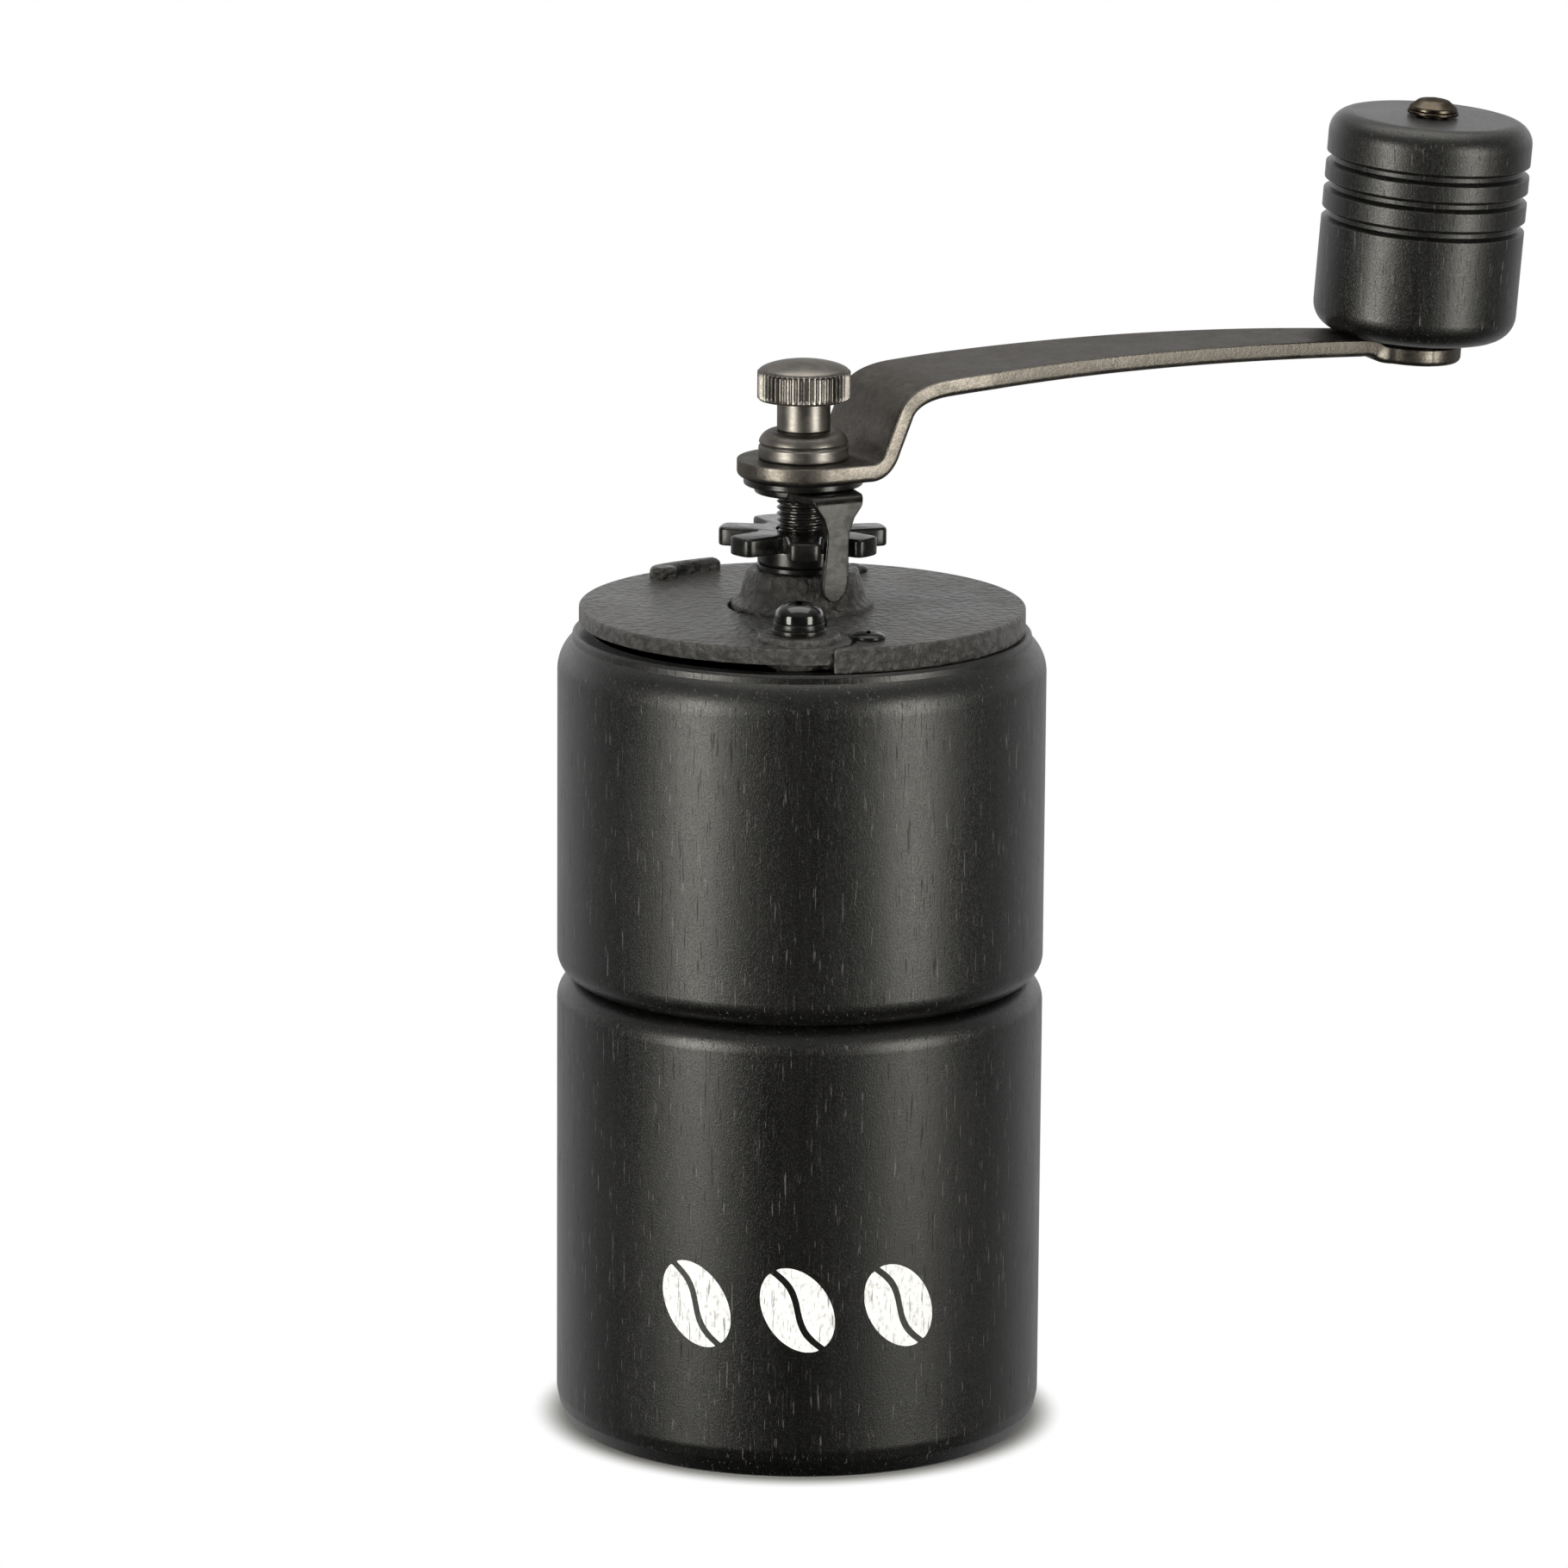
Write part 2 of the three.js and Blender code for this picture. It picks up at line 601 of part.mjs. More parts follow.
function crankArm() {
  const upper = armLine();
  const lower = offsetLine(upper, armThickness).reverse();
  const side = new THREE.Shape([...upper, ...lower]);
  const width = 3 * hubRadius;
  const bar = solid(new THREE.ExtrudeGeometry(side, { depth: width, bevelEnabled: false })
    .translate(0, 0, -width / 2)
    .rotateX(Math.PI / 2));
  const taper = [
    [0, 0.05 - hubRadius], [armRootReach, -armRootWidth / 2], [crankLength, -armTipWidth / 2],
    [crankLength, armTipWidth / 2], [armRootReach, armRootWidth / 2], [0, hubRadius - 0.05],
  ];
  const reach = 2 * kneeRise + 10;
  const plan = plate(taper, -reach, reach)
    .add(rod(hubRadius, -reach, reach, 40))
    .add(rod(eyeRadius, -reach, reach, 36).translate([crankLength, 0, 0]));
  const shaped = solid(twistArm(geometryOf(bar.intersect(plan)))).translate([0, 0, armTop]);
  const pinHole = placedOnEye(rod(pinRadius + turnedGap, -3 * armThickness, armThickness, 20));
  return shaped.subtract(keyed(screwFit, armBottom - 1, armTop + 1)).subtract(pinHole);
}

// The knob's own frame: origin on the eye's upper face, Z square to it.
function eyeMatrix() {
  const normal = new THREE.Vector3(Math.tan(radians(eyeDroop)), -Math.tan(radians(eyeTwist)), 1).normalize();
  const turn = new THREE.Quaternion().setFromUnitVectors(new THREE.Vector3(0, 0, 1), normal);
  const place = new THREE.Vector3(crankLength, 0, armTop + eyeRise);
  return new THREE.Matrix4().compose(place, turn, new THREE.Vector3(1, 1, 1));
}

function placedOnEye(manifold) {
  return solid(geometryOf(manifold).applyMatrix4(eyeMatrix()));
}

// ---- the domed washer and thumb nut ----------------------------------------------------------
function domedWasher() {
  const bore = topThreadRadius + runningFit;
  const rim = 2.2;
  const dome = domedHeight - rim;
  return turned([
    [bore, domedBottom], [domedRadius, domedBottom], [domedRadius, domedBottom + rim],
    ...arc(domedRadius - dome, domedBottom + rim, dome, 18, 90, 4), [bore, domedTop],
  ], 24);
}

function thumbNut() {
  const outline = [];
  for (let i = 0; i < nutTeeth; i += 1) {
    outline.push(onCircle(nutHeadRadius, (360 * i) / nutTeeth));
    outline.push(onCircle(nutHeadRadius - 0.45, (360 * (i + 0.5)) / nutTeeth));
  }
  const top = nutHeadTop + nutDomeHeight;
  const crown = turned([
    [0, nutHeadTop - 1], [nutHeadRadius - 0.5, nutHeadTop - 1], [nutHeadRadius - 0.6, nutHeadTop + 0.25],
    [5, top - 0.7], [2.6, top - 0.2], [0, top],
  ], 24);
  const collar = rod(topThreadRadius + 1.35, nutBottom, collarTop + 1, 28);
  const nut = plate(outline, collarTop, nutHeadTop).add(crown).add(collar);
  return nut.subtract(rod(topThreadRadius + screwFit, nutBottom - 1, shaftTop + 0.5, 24));
}

// ---- the knob on its riveted pin -------------------------------------------------------------
const knobBottom = turnedGap + 0.8 + turnedGap;
const knobBore = pinRadius + turnedGap;
const knobTop = knobBottom + knobHeight;

function knob() {
  const foot = arc(knobRadius - knobFootFillet, knobBottom + knobFootFillet, knobFootFillet, -90, 0, 4);
  const crown = arc(knobRadius - knobTopFillet, knobTop - knobTopFillet, knobTopFillet, 0, 90, 4);
  const grooves = [];
  for (const drop of [...grooveDrops].reverse()) {
    const level = knobTop - drop;
    grooves.push([knobRadius, level - 0.9], [knobRadius - grooveDepth, level - 0.35]);
    grooves.push([knobRadius - grooveDepth, level + 0.35], [knobRadius, level + 0.9]);
  }
  return turned([[knobBore, knobBottom], ...foot, ...grooves, ...crown, [knobBore, knobTop]], 28);
}

function knobPin() {
  const under = -armThickness - turnedGap;
  const seat = knobTop + turnedGap + 0.6 + seatGap;
  return turned([
    [0, under - 1.5], [3.6, under - 1.2], [4.4, under], [pinRadius, under], [pinRadius, seat],
    [pinHeadRadius, seat], [pinHeadRadius - 0.2, seat + 0.6], [pinHeadRadius - 1.6, seat + 0.8 * pinHeadHeight],
    [0, seat + pinHeadHeight],
  ], 20);
}

// ---- assembly --------------------------------------------------------------------------------
const group = new THREE.Group();

add(group, 'grounds_cup', groundsCup(), stainedWood);
add(group, 'upper_body', upperBody(), stainedWood);
add(group, 'hopper_frame', hopperFrame(), castIron);
for (let i = 0; i < 3; i += 1) {
  const [x, y] = frameScrewPlace(i);
  add(group, `frame_screw_${i + 1}`, frameScrew().translate([x, y, 0]), plainSteel);
  const [u, v] = burrScrewPlace(i);
  add(group, `burr_screw_${i + 1}`, burrScrew().translate([u, v, 0]), plainSteel);
}
add(group, 'ring_burr', ringBurr(), plainSteel);
add(group, 'top_plate', topPlate(), castIron);
postAngles.forEach((angle, i) => {
  const [x, y] = onCircle(postRing, angle);
  add(group, `plate_screw_${i + 1}`, plateScrew().translate([x, y, 0]), blackSteel);
});
add(group, 'hopper_lid', hopperLid(), castIron);
add(group, 'lid_washer', lidWasher().translate([pivotOffset, pivotY, 0]), blackSteel);
add(group, 'lid_spring_washer', lidSpringWasher().translate([pivotOffset, pivotY, 0]), blackSteel);
add(group, 'lid_screw', lidScrew().translate([pivotOffset, pivotY, 0]), blackGloss);
add(group, 'thrust_washer', tube(shaftBore, 7.5, washerBottom, washerTop, 24), blackSteel);

const turning = new THREE.Group();
turning.rotation.z = radians(crankAngle);
group.add(turning);
add(turning, 'adjusting_star', adjustingStar(), blackSteel);
add(turning, 'shaft', shaft(), plainSteel);
add(turning, 'cone_burr', coneBurr(), plainSteel);
add(turning, 'burr_washer', burrWasher(), plainSteel);
add(turning, 'burr_nut', burrNut(), plainSteel);
add(turning, 'burr_spring', burrSpring(), plainSteel);
add(turning, 'lock_clip', lockClip(), clipSteel);
add(turning, 'arm_washer', tube(keyRadius + runningFit, armWasherRadius, armWasherBottom, armWasherTop, 28),
  darkNickel);
add(turning, 'crank_arm', crankArm(), blackNickel);
add(turning, 'domed_washer', domedWasher(), darkNickel);
add(turning, 'thumb_nut', thumbNut(), darkNickel);

const handle = new THREE.Group();
handle.applyMatrix4(eyeMatrix());
turning.add(handle);
add(handle, 'knob_washer_bottom', tube(knobBore, 6.5, turnedGap, turnedGap + 0.8, 20), bronzeSteel);
add(handle, 'knob', knob(), stainedWood);
add(handle, 'knob_washer_top', tube(knobBore, 4.3, knobTop + turnedGap, knobTop + turnedGap + 0.6, 20), bronzeSteel);
add(handle, 'knob_pin', knobPin(), bronzeSteel);

export default group;
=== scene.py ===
# %% [markdown]
# # A hand crank coffee grinder
# A turned wooden cup catches the grounds, a turned wooden body above it holds the burrs, and a
# steel crank with a wooden knob turns them. This lesson dresses the grinder's exact parts in
# finer surfaces and real finishes. The parts come in as a fixed frame, so every level and radius
# below is measured on them, and nothing has to be fitted by eye.

# %% Load the frame
import json
import math

import bmesh
import bpy
import numpy as np
from mathutils import Matrix, Vector


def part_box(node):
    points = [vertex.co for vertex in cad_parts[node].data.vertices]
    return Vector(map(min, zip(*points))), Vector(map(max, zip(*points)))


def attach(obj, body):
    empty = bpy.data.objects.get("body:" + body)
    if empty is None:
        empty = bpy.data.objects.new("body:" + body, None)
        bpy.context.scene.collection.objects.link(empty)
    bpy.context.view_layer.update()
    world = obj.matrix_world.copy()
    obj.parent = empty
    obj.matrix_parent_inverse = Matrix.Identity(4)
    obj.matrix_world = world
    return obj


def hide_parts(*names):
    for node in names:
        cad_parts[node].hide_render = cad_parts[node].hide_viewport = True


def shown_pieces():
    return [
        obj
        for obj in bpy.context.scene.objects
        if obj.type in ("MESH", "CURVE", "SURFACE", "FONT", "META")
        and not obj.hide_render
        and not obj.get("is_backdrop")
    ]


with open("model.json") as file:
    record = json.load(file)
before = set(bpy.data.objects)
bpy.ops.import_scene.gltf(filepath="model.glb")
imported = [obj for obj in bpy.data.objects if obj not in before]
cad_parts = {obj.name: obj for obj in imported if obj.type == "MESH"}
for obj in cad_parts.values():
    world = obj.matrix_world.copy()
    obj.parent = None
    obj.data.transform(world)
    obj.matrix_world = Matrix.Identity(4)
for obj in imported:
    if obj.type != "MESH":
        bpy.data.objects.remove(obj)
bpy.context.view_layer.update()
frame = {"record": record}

behaviour = frame["record"]["behaviour"]
BODY_OF = {node: body for body, nodes in behaviour["bodies"].items() for node in nodes}

# %% [markdown]
# ## The camera
# The camera stands well back with a long lens, so the grinder's upright sides stay nearly
# parallel, and looks down by about a dozen degrees. A camera points along its own -Z with +Y up,
# so its turn is built from three unit vectors: right, up, and backwards. A yaw, a pitch and a
# small roll give those three, which is easier to reason about than three chained rotations.

# %% Aim the camera
CAMERA_PLACE = (0.0, -1.341, 0.406)
CAMERA_LENS = 192.3


def camera_turn(pitch, yaw, roll):
    """The camera's three axes: forward from yaw and pitch, right square to it and level, both
    then rolled about forward."""
    p, y, r = (math.radians(a) for a in (pitch, yaw, roll))
    ahead = Vector((math.sin(y) * math.cos(p), math.cos(y) * math.cos(p), -math.sin(p)))
    right = Vector((math.cos(y), -math.sin(y), 0))
    up = right.cross(ahead)
    rolled_right = math.cos(r) * right + math.sin(r) * up
    rolled_up = math.cos(r) * up - math.sin(r) * right
    return Matrix((rolled_right, rolled_up, -ahead)).transposed()


lens = bpy.data.cameras.new("camera")
lens.lens = CAMERA_LENS
lens.sensor_width = 36
camera = bpy.data.objects.new("camera", lens)
camera.matrix_world = Matrix.LocRotScale(
    Vector(CAMERA_PLACE), camera_turn(12.58, -0.12, 0.38), Vector((1, 1, 1)))
bpy.context.scene.collection.objects.link(camera)
bpy.context.scene.camera = camera
bpy.context.scene.view_settings.view_transform = "Standard"
print("camera at", tuple(round(x, 3) for x in camera.location))

# %% [markdown]
# ## The studio
# A product table is lit by two tall soft boxes in front, one to each side, with the dark room
# behind the camera left between them. On turned wood they show as two upright soft bands with a
# dark valley in the middle, and that pattern is what makes the cylinder read as round. A broad
# light overhead fills the flat tops. The world gives the rest: bright and low behind the grinder,
# where the flat tops pick it up, and dim in front.

# %% Soft boxes
WARM_WHITE = (1.0, 0.985, 0.90)
OVERHEAD_PLACE = (0, 0.25, 1.35)


def softbox(name, azimuth, distance, width, low, high, radiance):
    """An upright rectangle of light that faces the axis; its power is pi x area x radiance."""
    turn = math.radians(azimuth)
    away = Vector((math.sin(turn), -math.cos(turn), 0))
    light = bpy.data.lights.new(name, "AREA")
    light.shape, light.size, light.size_y = "RECTANGLE", width, high - low
    light.energy = math.pi * width * (high - low) * radiance
    light.color = WARM_WHITE
    lamp = bpy.data.objects.new(name, light)
    lamp.location = away * distance + Vector((0, 0, (low + high) / 2))
    lamp.rotation_euler = away.to_track_quat("Z", "Y").to_euler()
    bpy.context.scene.collection.objects.link(lamp)
    return lamp


softbox("left_softbox", -49, 1.0, 0.36, -0.14, 0.55, 12.0)
softbox("right_softbox", 52, 1.0, 0.38, -0.14, 0.55, 9.5)
overhead = softbox("overhead_softbox", 0, 0.0, 1.3, 0, 1.0, 2.2)
overhead.location = OVERHEAD_PLACE
overhead.rotation_euler = (0, 0, 0)
print("lights:", len(bpy.data.lights))

# %% Node helpers
def grow(tree, kind, values=None, **settings):
    """Adds one node: settings are its own options, values go to its inputs by name or number.
    A value that is a socket is linked, and any other value is set."""
    node = tree.nodes.new(kind)
    for name, value in settings.items():
        setattr(node, name, value)
    for name, value in (values or {}).items():
        if isinstance(value, bpy.types.NodeSocket):
            tree.links.new(value, node.inputs[name])
        else:
            node.inputs[name].default_value = value
    return node


def maths(tree, operation, a, b=0.0):
    """The result of one Math node."""
    return grow(tree, "ShaderNodeMath", {0: a, 1: b}, operation=operation).outputs[0]


def remap(tree, value, from_low, from_high, to_low=0.0, to_high=1.0):
    """value eased from one range to another, and held at its ends."""
    sizes = {"Value": value, "From Min": from_low, "From Max": from_high,
             "To Min": to_low, "To Max": to_high}
    return grow(tree, "ShaderNodeMapRange", sizes, interpolation_type="SMOOTHSTEP").outputs[0]


def blend(tree, share, a, b):
    """Colour a where share is 0, and colour b where it is 1."""
    mix = grow(tree, "ShaderNodeMix", {0: share, 6: a, 7: b}, data_type="RGBA")
    return mix.outputs[2]


def grey(value, warmth=0.0):
    """A linear grey, a little redder and less blue by warmth."""
    return (value * (1 + warmth), value, value * (1 - warmth), 1)


# %% The world
def studio_world():
    """Brightness by direction: dim in front, bright and low behind but weaker below the
    horizon, a soft dome above. The backdrop that the camera sees directly is plain white."""
    world = bpy.data.worlds.new("studio")
    bpy.context.scene.world = world
    world.use_nodes = True
    tree = world.node_tree
    tree.nodes.clear()
    way = grow(tree, "ShaderNodeTexCoord").outputs["Generated"]
    axes = grow(tree, "ShaderNodeSeparateXYZ", {0: way}).outputs
    behind = remap(tree, axes["Y"], 0.0, 0.75, 0.0, 0.95)
    low = remap(tree, axes["Z"], 0.62, 0.12)
    glow = maths(tree, "MULTIPLY", behind, remap(tree, low, 0.0, 1.0, 0.3, 1.0))
    glow = maths(tree, "MULTIPLY", glow, remap(tree, axes["Z"], -0.2, 0.1, 0.55, 1.0))
    dome = remap(tree, axes["Z"], 0.25, 0.9, 0.0, 0.35)
    side = remap(tree, maths(tree, "ABSOLUTE", axes["X"]), 0.75, 1.0, 0.0, 0.05)
    strength = maths(tree, "ADD", maths(tree, "ADD", glow, dome), side)
    strength = maths(tree, "ADD", strength, 0.01)
    seen = grow(tree, "ShaderNodeLightPath").outputs["Is Camera Ray"]
    strength = maths(tree, "MAXIMUM", strength, maths(tree, "MULTIPLY", seen, 1.0))
    sky = grow(tree, "ShaderNodeBackground", {"Color": (1, 1, 1, 1), "Strength": strength})
    out = grow(tree, "ShaderNodeOutputWorld", {"Surface": sky.outputs[0]})
    return out


studio_world()
print("world nodes:", len(bpy.context.scene.world.node_tree.nodes))

# %% The table
TABLE_HALF = 3.0
CONTACT = (0.0390, 0.0445)


def table_top():
    """A white table, 6 m across. It shines by itself except close to the foot, where it takes
    shade, as a table lit from below does. It is left out of glossy reflections, as a flagged
    table is, so the front of the wood stays dark."""
    half = TABLE_HALF
    corners = [(-half, -half, 0), (half, -half, 0), (half, half, 0), (-half, half, 0)]
    mesh = bpy.data.meshes.new("table")
    mesh.from_pydata(corners, [], [(0, 1, 2, 3)])
    table = bpy.data.objects.new("table", mesh)
    bpy.context.scene.collection.objects.link(table)
    paint = bpy.data.materials.new("table_white")
    paint.use_nodes = True
    tree = paint.node_tree
    tree.nodes.clear()
    matt = grow(tree, "ShaderNodeBsdfDiffuse", {"Color": grey(0.55)})
    lit = grow(tree, "ShaderNodeEmission", {"Color": (1, 1, 1, 1), "Strength": 1.0})
    place = grow(tree, "ShaderNodeTexCoord").outputs["Object"]
    away = grow(tree, "ShaderNodeVectorMath", {0: place}, operation="LENGTH").outputs["Value"]
    share = remap(tree, away, *CONTACT)
    floor = grow(tree, "ShaderNodeMixShader", {0: share, 1: matt.outputs[0], 2: lit.outputs[0]})
    grow(tree, "ShaderNodeOutputMaterial", {"Surface": floor.outputs[0]})
    mesh.materials.append(paint)
    table.visible_glossy = False
    table.visible_shadow = False
    table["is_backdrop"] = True
    return table


table_top()

# %% [markdown]
# ## Surfaces as grids
# Nearly every part here is turned on a lathe, stamped from sheet, or cast flat. Each kind is a
# grid of points that a formula gives: a lathe profile swept round the axis, a flat outline with
# rounded edges, or a bar's cross-section carried along its bend. numpy works out the whole grid
# at once and Blender receives it in one go. Formulas are in millimetres and the mesh in metres.

# %% Measures of the frame
MM = 0.001


def span(node):
    """The lowest and highest corner of a CAD node in millimetres."""
    low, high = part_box(node)
    return np.array(low) / MM, np.array(high) / MM


def middle(node):
    """The x and y at the middle of a CAD node, in millimetres."""
    return sum(span(node))[:2] / 2


# %% From points to a mesh
SHARP = math.radians(32)


def signed_volume(mesh):
    """The sum over triangles of a . (b x c) / 6, which is positive if faces point outwards."""
    mesh.calc_loop_triangles()
    points = np.zeros(len(mesh.vertices) * 3)
    mesh.vertices.foreach_get("co", points)
    corners = np.zeros(len(mesh.loop_triangles) * 3, int)
    mesh.loop_triangles.foreach_get("vertices", corners)
    a, b, c = points.reshape(-1, 3)[corners.reshape(-1, 3)].transpose(1, 0, 2)
    return float(np.einsum("ij,ij->", a, np.cross(b, c)) / 6)


def tidy(mesh):
    """Merges doubled points, so that poles and seams close, and turns the faces outwards."""
    work = bmesh.new()
    work.from_mesh(mesh)
    bmesh.ops.remove_doubles(work, verts=work.verts, dist=2e-7)
    bmesh.ops.dissolve_degenerate(work, edges=work.edges, dist=1e-8)
    work.to_mesh(mesh)
    work.free()
    if signed_volume(mesh) < 0:
        mesh.flip_normals()


def shade(mesh):
    """Smooth shading, with edges over SHARP kept crisp and many-sided caps kept flat."""
    sides = np.zeros(len(mesh.polygons), int)
    mesh.polygons.foreach_get("loop_total", sides)
    mesh.polygons.foreach_set("use_smooth", sides <= 8)
    mesh.set_sharp_from_angle(angle=SHARP)
    mesh.update()


def piece_of(name, points, faces):
    """An object at the origin whose mesh has these points, in millimetres, and faces."""
    mesh = bpy.data.meshes.new(name)
    mesh.from_pydata(np.asarray(points, float) * MM, [], faces)
    tidy(mesh)
    shade(mesh)
    piece = bpy.data.objects.new(name, mesh)
    bpy.context.scene.collection.objects.link(piece)
    return piece


def surface(name, grid, ring=False):
    """A mesh over a grid of points: every cell is a face, columns close round the piece, and
    rows close too where ring is set."""
    rows, columns = grid.shape[:2]
    index = np.arange(rows * columns).reshape(rows, columns)
    index = np.column_stack((index, index[:, 0]))
    if ring:
        index = np.vstack((index, index[:1]))
    cells = np.stack((index[:-1, :-1], index[1:, :-1], index[1:, 1:], index[:-1, 1:]), -1)
    return piece_of(name, grid.reshape(-1, 3), cells.reshape(-1, 4).tolist())


# %% Outlines with rounded corners
def unit(vector):
    """The vector over its own length."""
    return vector / np.linalg.norm(vector)


def arc(centre, radius, start, end, steps=12):
    """Points at centre + radius x (cos, sin) of even angles from start to end, in degrees."""
    turn = np.radians(np.linspace(start, end, steps + 1))
    return np.array(centre) + radius * np.column_stack((np.cos(turn), np.sin(turn)))


def fillet(before, corner, after, radius, steps):
    """The arc that touches both sides of a corner: its ends lie radius x tan(half the turn) from
    the corner. A support point just outside each end keeps the shading of the flats flat."""
    into, out = unit(corner - before), unit(after - corner)
    turn = np.arccos(np.clip(into @ out, -1, 1))
    reach = radius * np.tan(turn / 2)
    side = np.sign(into[0] * out[1] - into[1] * out[0]) or 1.0
    start = corner - into * reach
    centre = start + side * radius * np.array((-into[1], into[0]))
    angle = side * turn * np.linspace(0, 1, steps + 1)[:, None]
    spoke = start - centre
    across = np.array((-spoke[1], spoke[0]))
    bend = centre + spoke * np.cos(angle) + across * np.sin(angle)
    support = min(0.12, 0.25 * radius)
    return np.vstack((start - into * support, bend, bend[-1] + out * support))


def rounded(corners, closed=False, steps=7):
    """An outline through corners (a, b, radius), each swapped for its fillet where radius > 0.
    The two ends of an open outline stay as they are."""
    corners = np.array(corners, float)
    points, last = corners[:, :2], len(corners) - 1
    runs = []
    for i, radius in enumerate(corners[:, 2]):
        if radius == 0 or (not closed and i in (0, last)):
            runs.append(points[i:i + 1])
        else:
            after = points[(i + 1) % (last + 1)]
            runs.append(fillet(points[i - 1], points[i], after, radius, steps))
    return np.vstack(runs)


print("a rounded corner has", len(rounded([(0, 0, 0), (1, 0, 0.2), (1, 1, 0)])) - 2, "points")


# %% Turned pieces
def turned(name, profile, columns=160, centre=(0, 0), wobble=None):
    """A lathe profile of (radius, height) swept round: x = r cos t, y = r sin t, z = height.
    wobble(t, r, z) adds to the radius. A profile that starts off the axis closes on itself."""
    t = np.linspace(0, 2 * np.pi, columns, endpoint=False)[None, :]
    r, z = profile[:, :1] + 0 * t, profile[:, 1:] + 0 * t
    if wobble is not None:
        r = r + wobble(t, r, z)
    grid = np.stack((centre[0] + r * np.cos(t), centre[1] + r * np.sin(t), z), -1)
    return surface(name, grid, ring=profile[0, 0] > 1e-6)


def rod(name, radius, low, high, centre=(0, 0), columns=96):
    """A plain round bar, for cutting holes."""
    profile = np.array([(0, low), (radius, low), (radius, high), (0, high)])
    return turned(name, profile, columns, centre)


def washer(name, inner, outer, low, high, edge=0.18, centre=(0, 0), columns=128):
    """A flat ring with its four edges rounded."""
    edge = min(edge, 0.45 * (high - low))
    corners = [(inner, low, edge), (outer, low, edge), (outer, high, edge), (inner, high, edge)]
    return turned(name, rounded(corners, closed=True, steps=4), columns, centre)


# %% Flat pieces
def outline_normals(outline):
    """Outward mitred normals of a counter-clockwise outline: the sum of the two side normals
    over one plus their dot product."""
    side = np.roll(outline, -1, 0) - outline
    normal = np.column_stack((side[:, 1], -side[:, 0]))
    normal /= np.linalg.norm(normal, axis=1)[:, None]
    before = np.roll(normal, 1, 0)
    share = 1 + np.sum(before * normal, 1)
    return (before + normal) / np.maximum(share, 0.35)[:, None]


def slab(name, outline, low, high, edge_low=0.2, edge_high=0.3, steps=4):
    """A flat outline with thickness: rings of it, each inset and raised along a quarter circle
    at both edges, with one flat face for each cap."""
    a = np.radians(np.linspace(0, 90, steps + 1))
    inset = np.concatenate((edge_low * (1 - np.sin(a)), edge_high * (1 - np.cos(a))))
    level = np.concatenate((low + edge_low * (1 - np.cos(a)), high - edge_high * (1 - np.sin(a))))
    normal = outline_normals(outline)
    flat = outline[None] - inset[:, None, None] * normal[None]
    grid = np.dstack((flat, np.broadcast_to(level[:, None], flat.shape[:2])))
    rows, columns = grid.shape[:2]
    index = np.arange(rows * columns).reshape(rows, columns)
    index = np.column_stack((index, index[:, 0]))
    walls = np.stack((index[:-1, :-1], index[:-1, 1:], index[1:, 1:], index[1:, :-1]), -1)
    faces = walls.reshape(-1, 4).tolist()
    faces += [index[0, :-1][::-1].tolist(), index[-1, :-1].tolist()]
    return piece_of(name, grid.reshape(-1, 3), faces)


# %% Bent bars
def bent_bar(name, line, rows, half, thickness, edges, across=9, steps=6, twist=None,
             sway=None):
    """A stamped bar whose outer side follows line, an array of (x, z). rows are distances along
    it and half the half width at each, 0 at both tips. The section is a rectangle with its
    outer and inner edges rounded, square to the plan outline: the point at inset e and depth d is
    line(s - e n_s) - d x normal, y = half - e n_y. twist(x) then tilts the section and sway(z)
    shifts it sideways."""
    step = np.linalg.norm(np.diff(line, axis=0), axis=1)
    run = np.concatenate(([0], np.cumsum(step)))
    slope = np.gradient(line, run, axis=0)
    slope /= np.linalg.norm(slope, axis=1)[:, None]
    mirrored_s = np.concatenate((rows[1:2], rows, rows[-2:-1]))
    mirrored_h = np.concatenate((-half[1:2], half, -half[-2:-1]))
    ds, dh = mirrored_s[2:] - mirrored_s[:-2], mirrored_h[2:] - mirrored_h[:-2]
    size = np.hypot(ds, dh)
    n_s, n_y = (-dh / size)[:, None], (ds / size)[:, None]
    top, bottom = edges
    a = np.radians(np.linspace(0, 90, steps + 1))
    inset = np.concatenate((top * (1 - np.sin(a)), bottom * (1 - np.cos(a))))
    depth = np.concatenate((top * (1 - np.cos(a)), thickness - bottom * (1 - np.sin(a))))
    inner = np.linspace(-1, 1, across + 2)[1:-1]
    side = np.concatenate((inner, np.ones_like(inset), -inner, -np.ones_like(inset)))[None]
    e = np.concatenate((0 * inner + top, inset, 0 * inner + bottom, inset[::-1]))[None]
    d = np.concatenate((0 * inner, depth, 0 * inner + thickness, depth[::-1]))[None]
    s = rows[:, None] - e * n_s
    y = side * np.maximum(half[:, None] - e * n_y, 0)
    x, z = (np.interp(s, run, line[:, k]) for k in (0, 1))
    along_x, along_z = (np.interp(s, run, slope[:, k]) for k in (0, 1))
    x, z = x + d * along_z, z - d * along_x
    if twist is not None:
        z = z + y * twist(x)
    if sway is not None:
        y = y + sway(z)
    return surface(name, np.stack((x, y, z), -1))


# %% Cutting, joining and turning
def combine(piece, tool, operation):
    """The exact boolean of two closed pieces, applied. The tool is thrown away."""
    step = piece.modifiers.new("shape", "BOOLEAN")
    step.operation, step.solver, step.object = operation, "EXACT", tool
    depsgraph = bpy.context.evaluated_depsgraph_get()
    result = bpy.data.meshes.new_from_object(piece.evaluated_get(depsgraph))
    piece.modifiers.clear()
    piece.data = result
    bpy.data.objects.remove(tool)
    tidy(piece.data)
    shade(piece.data)
    return piece


def cut(piece, *tools):
    """Takes each tool's shape out of the piece."""
    for tool in tools:
        combine(piece, tool, "DIFFERENCE")
    return piece


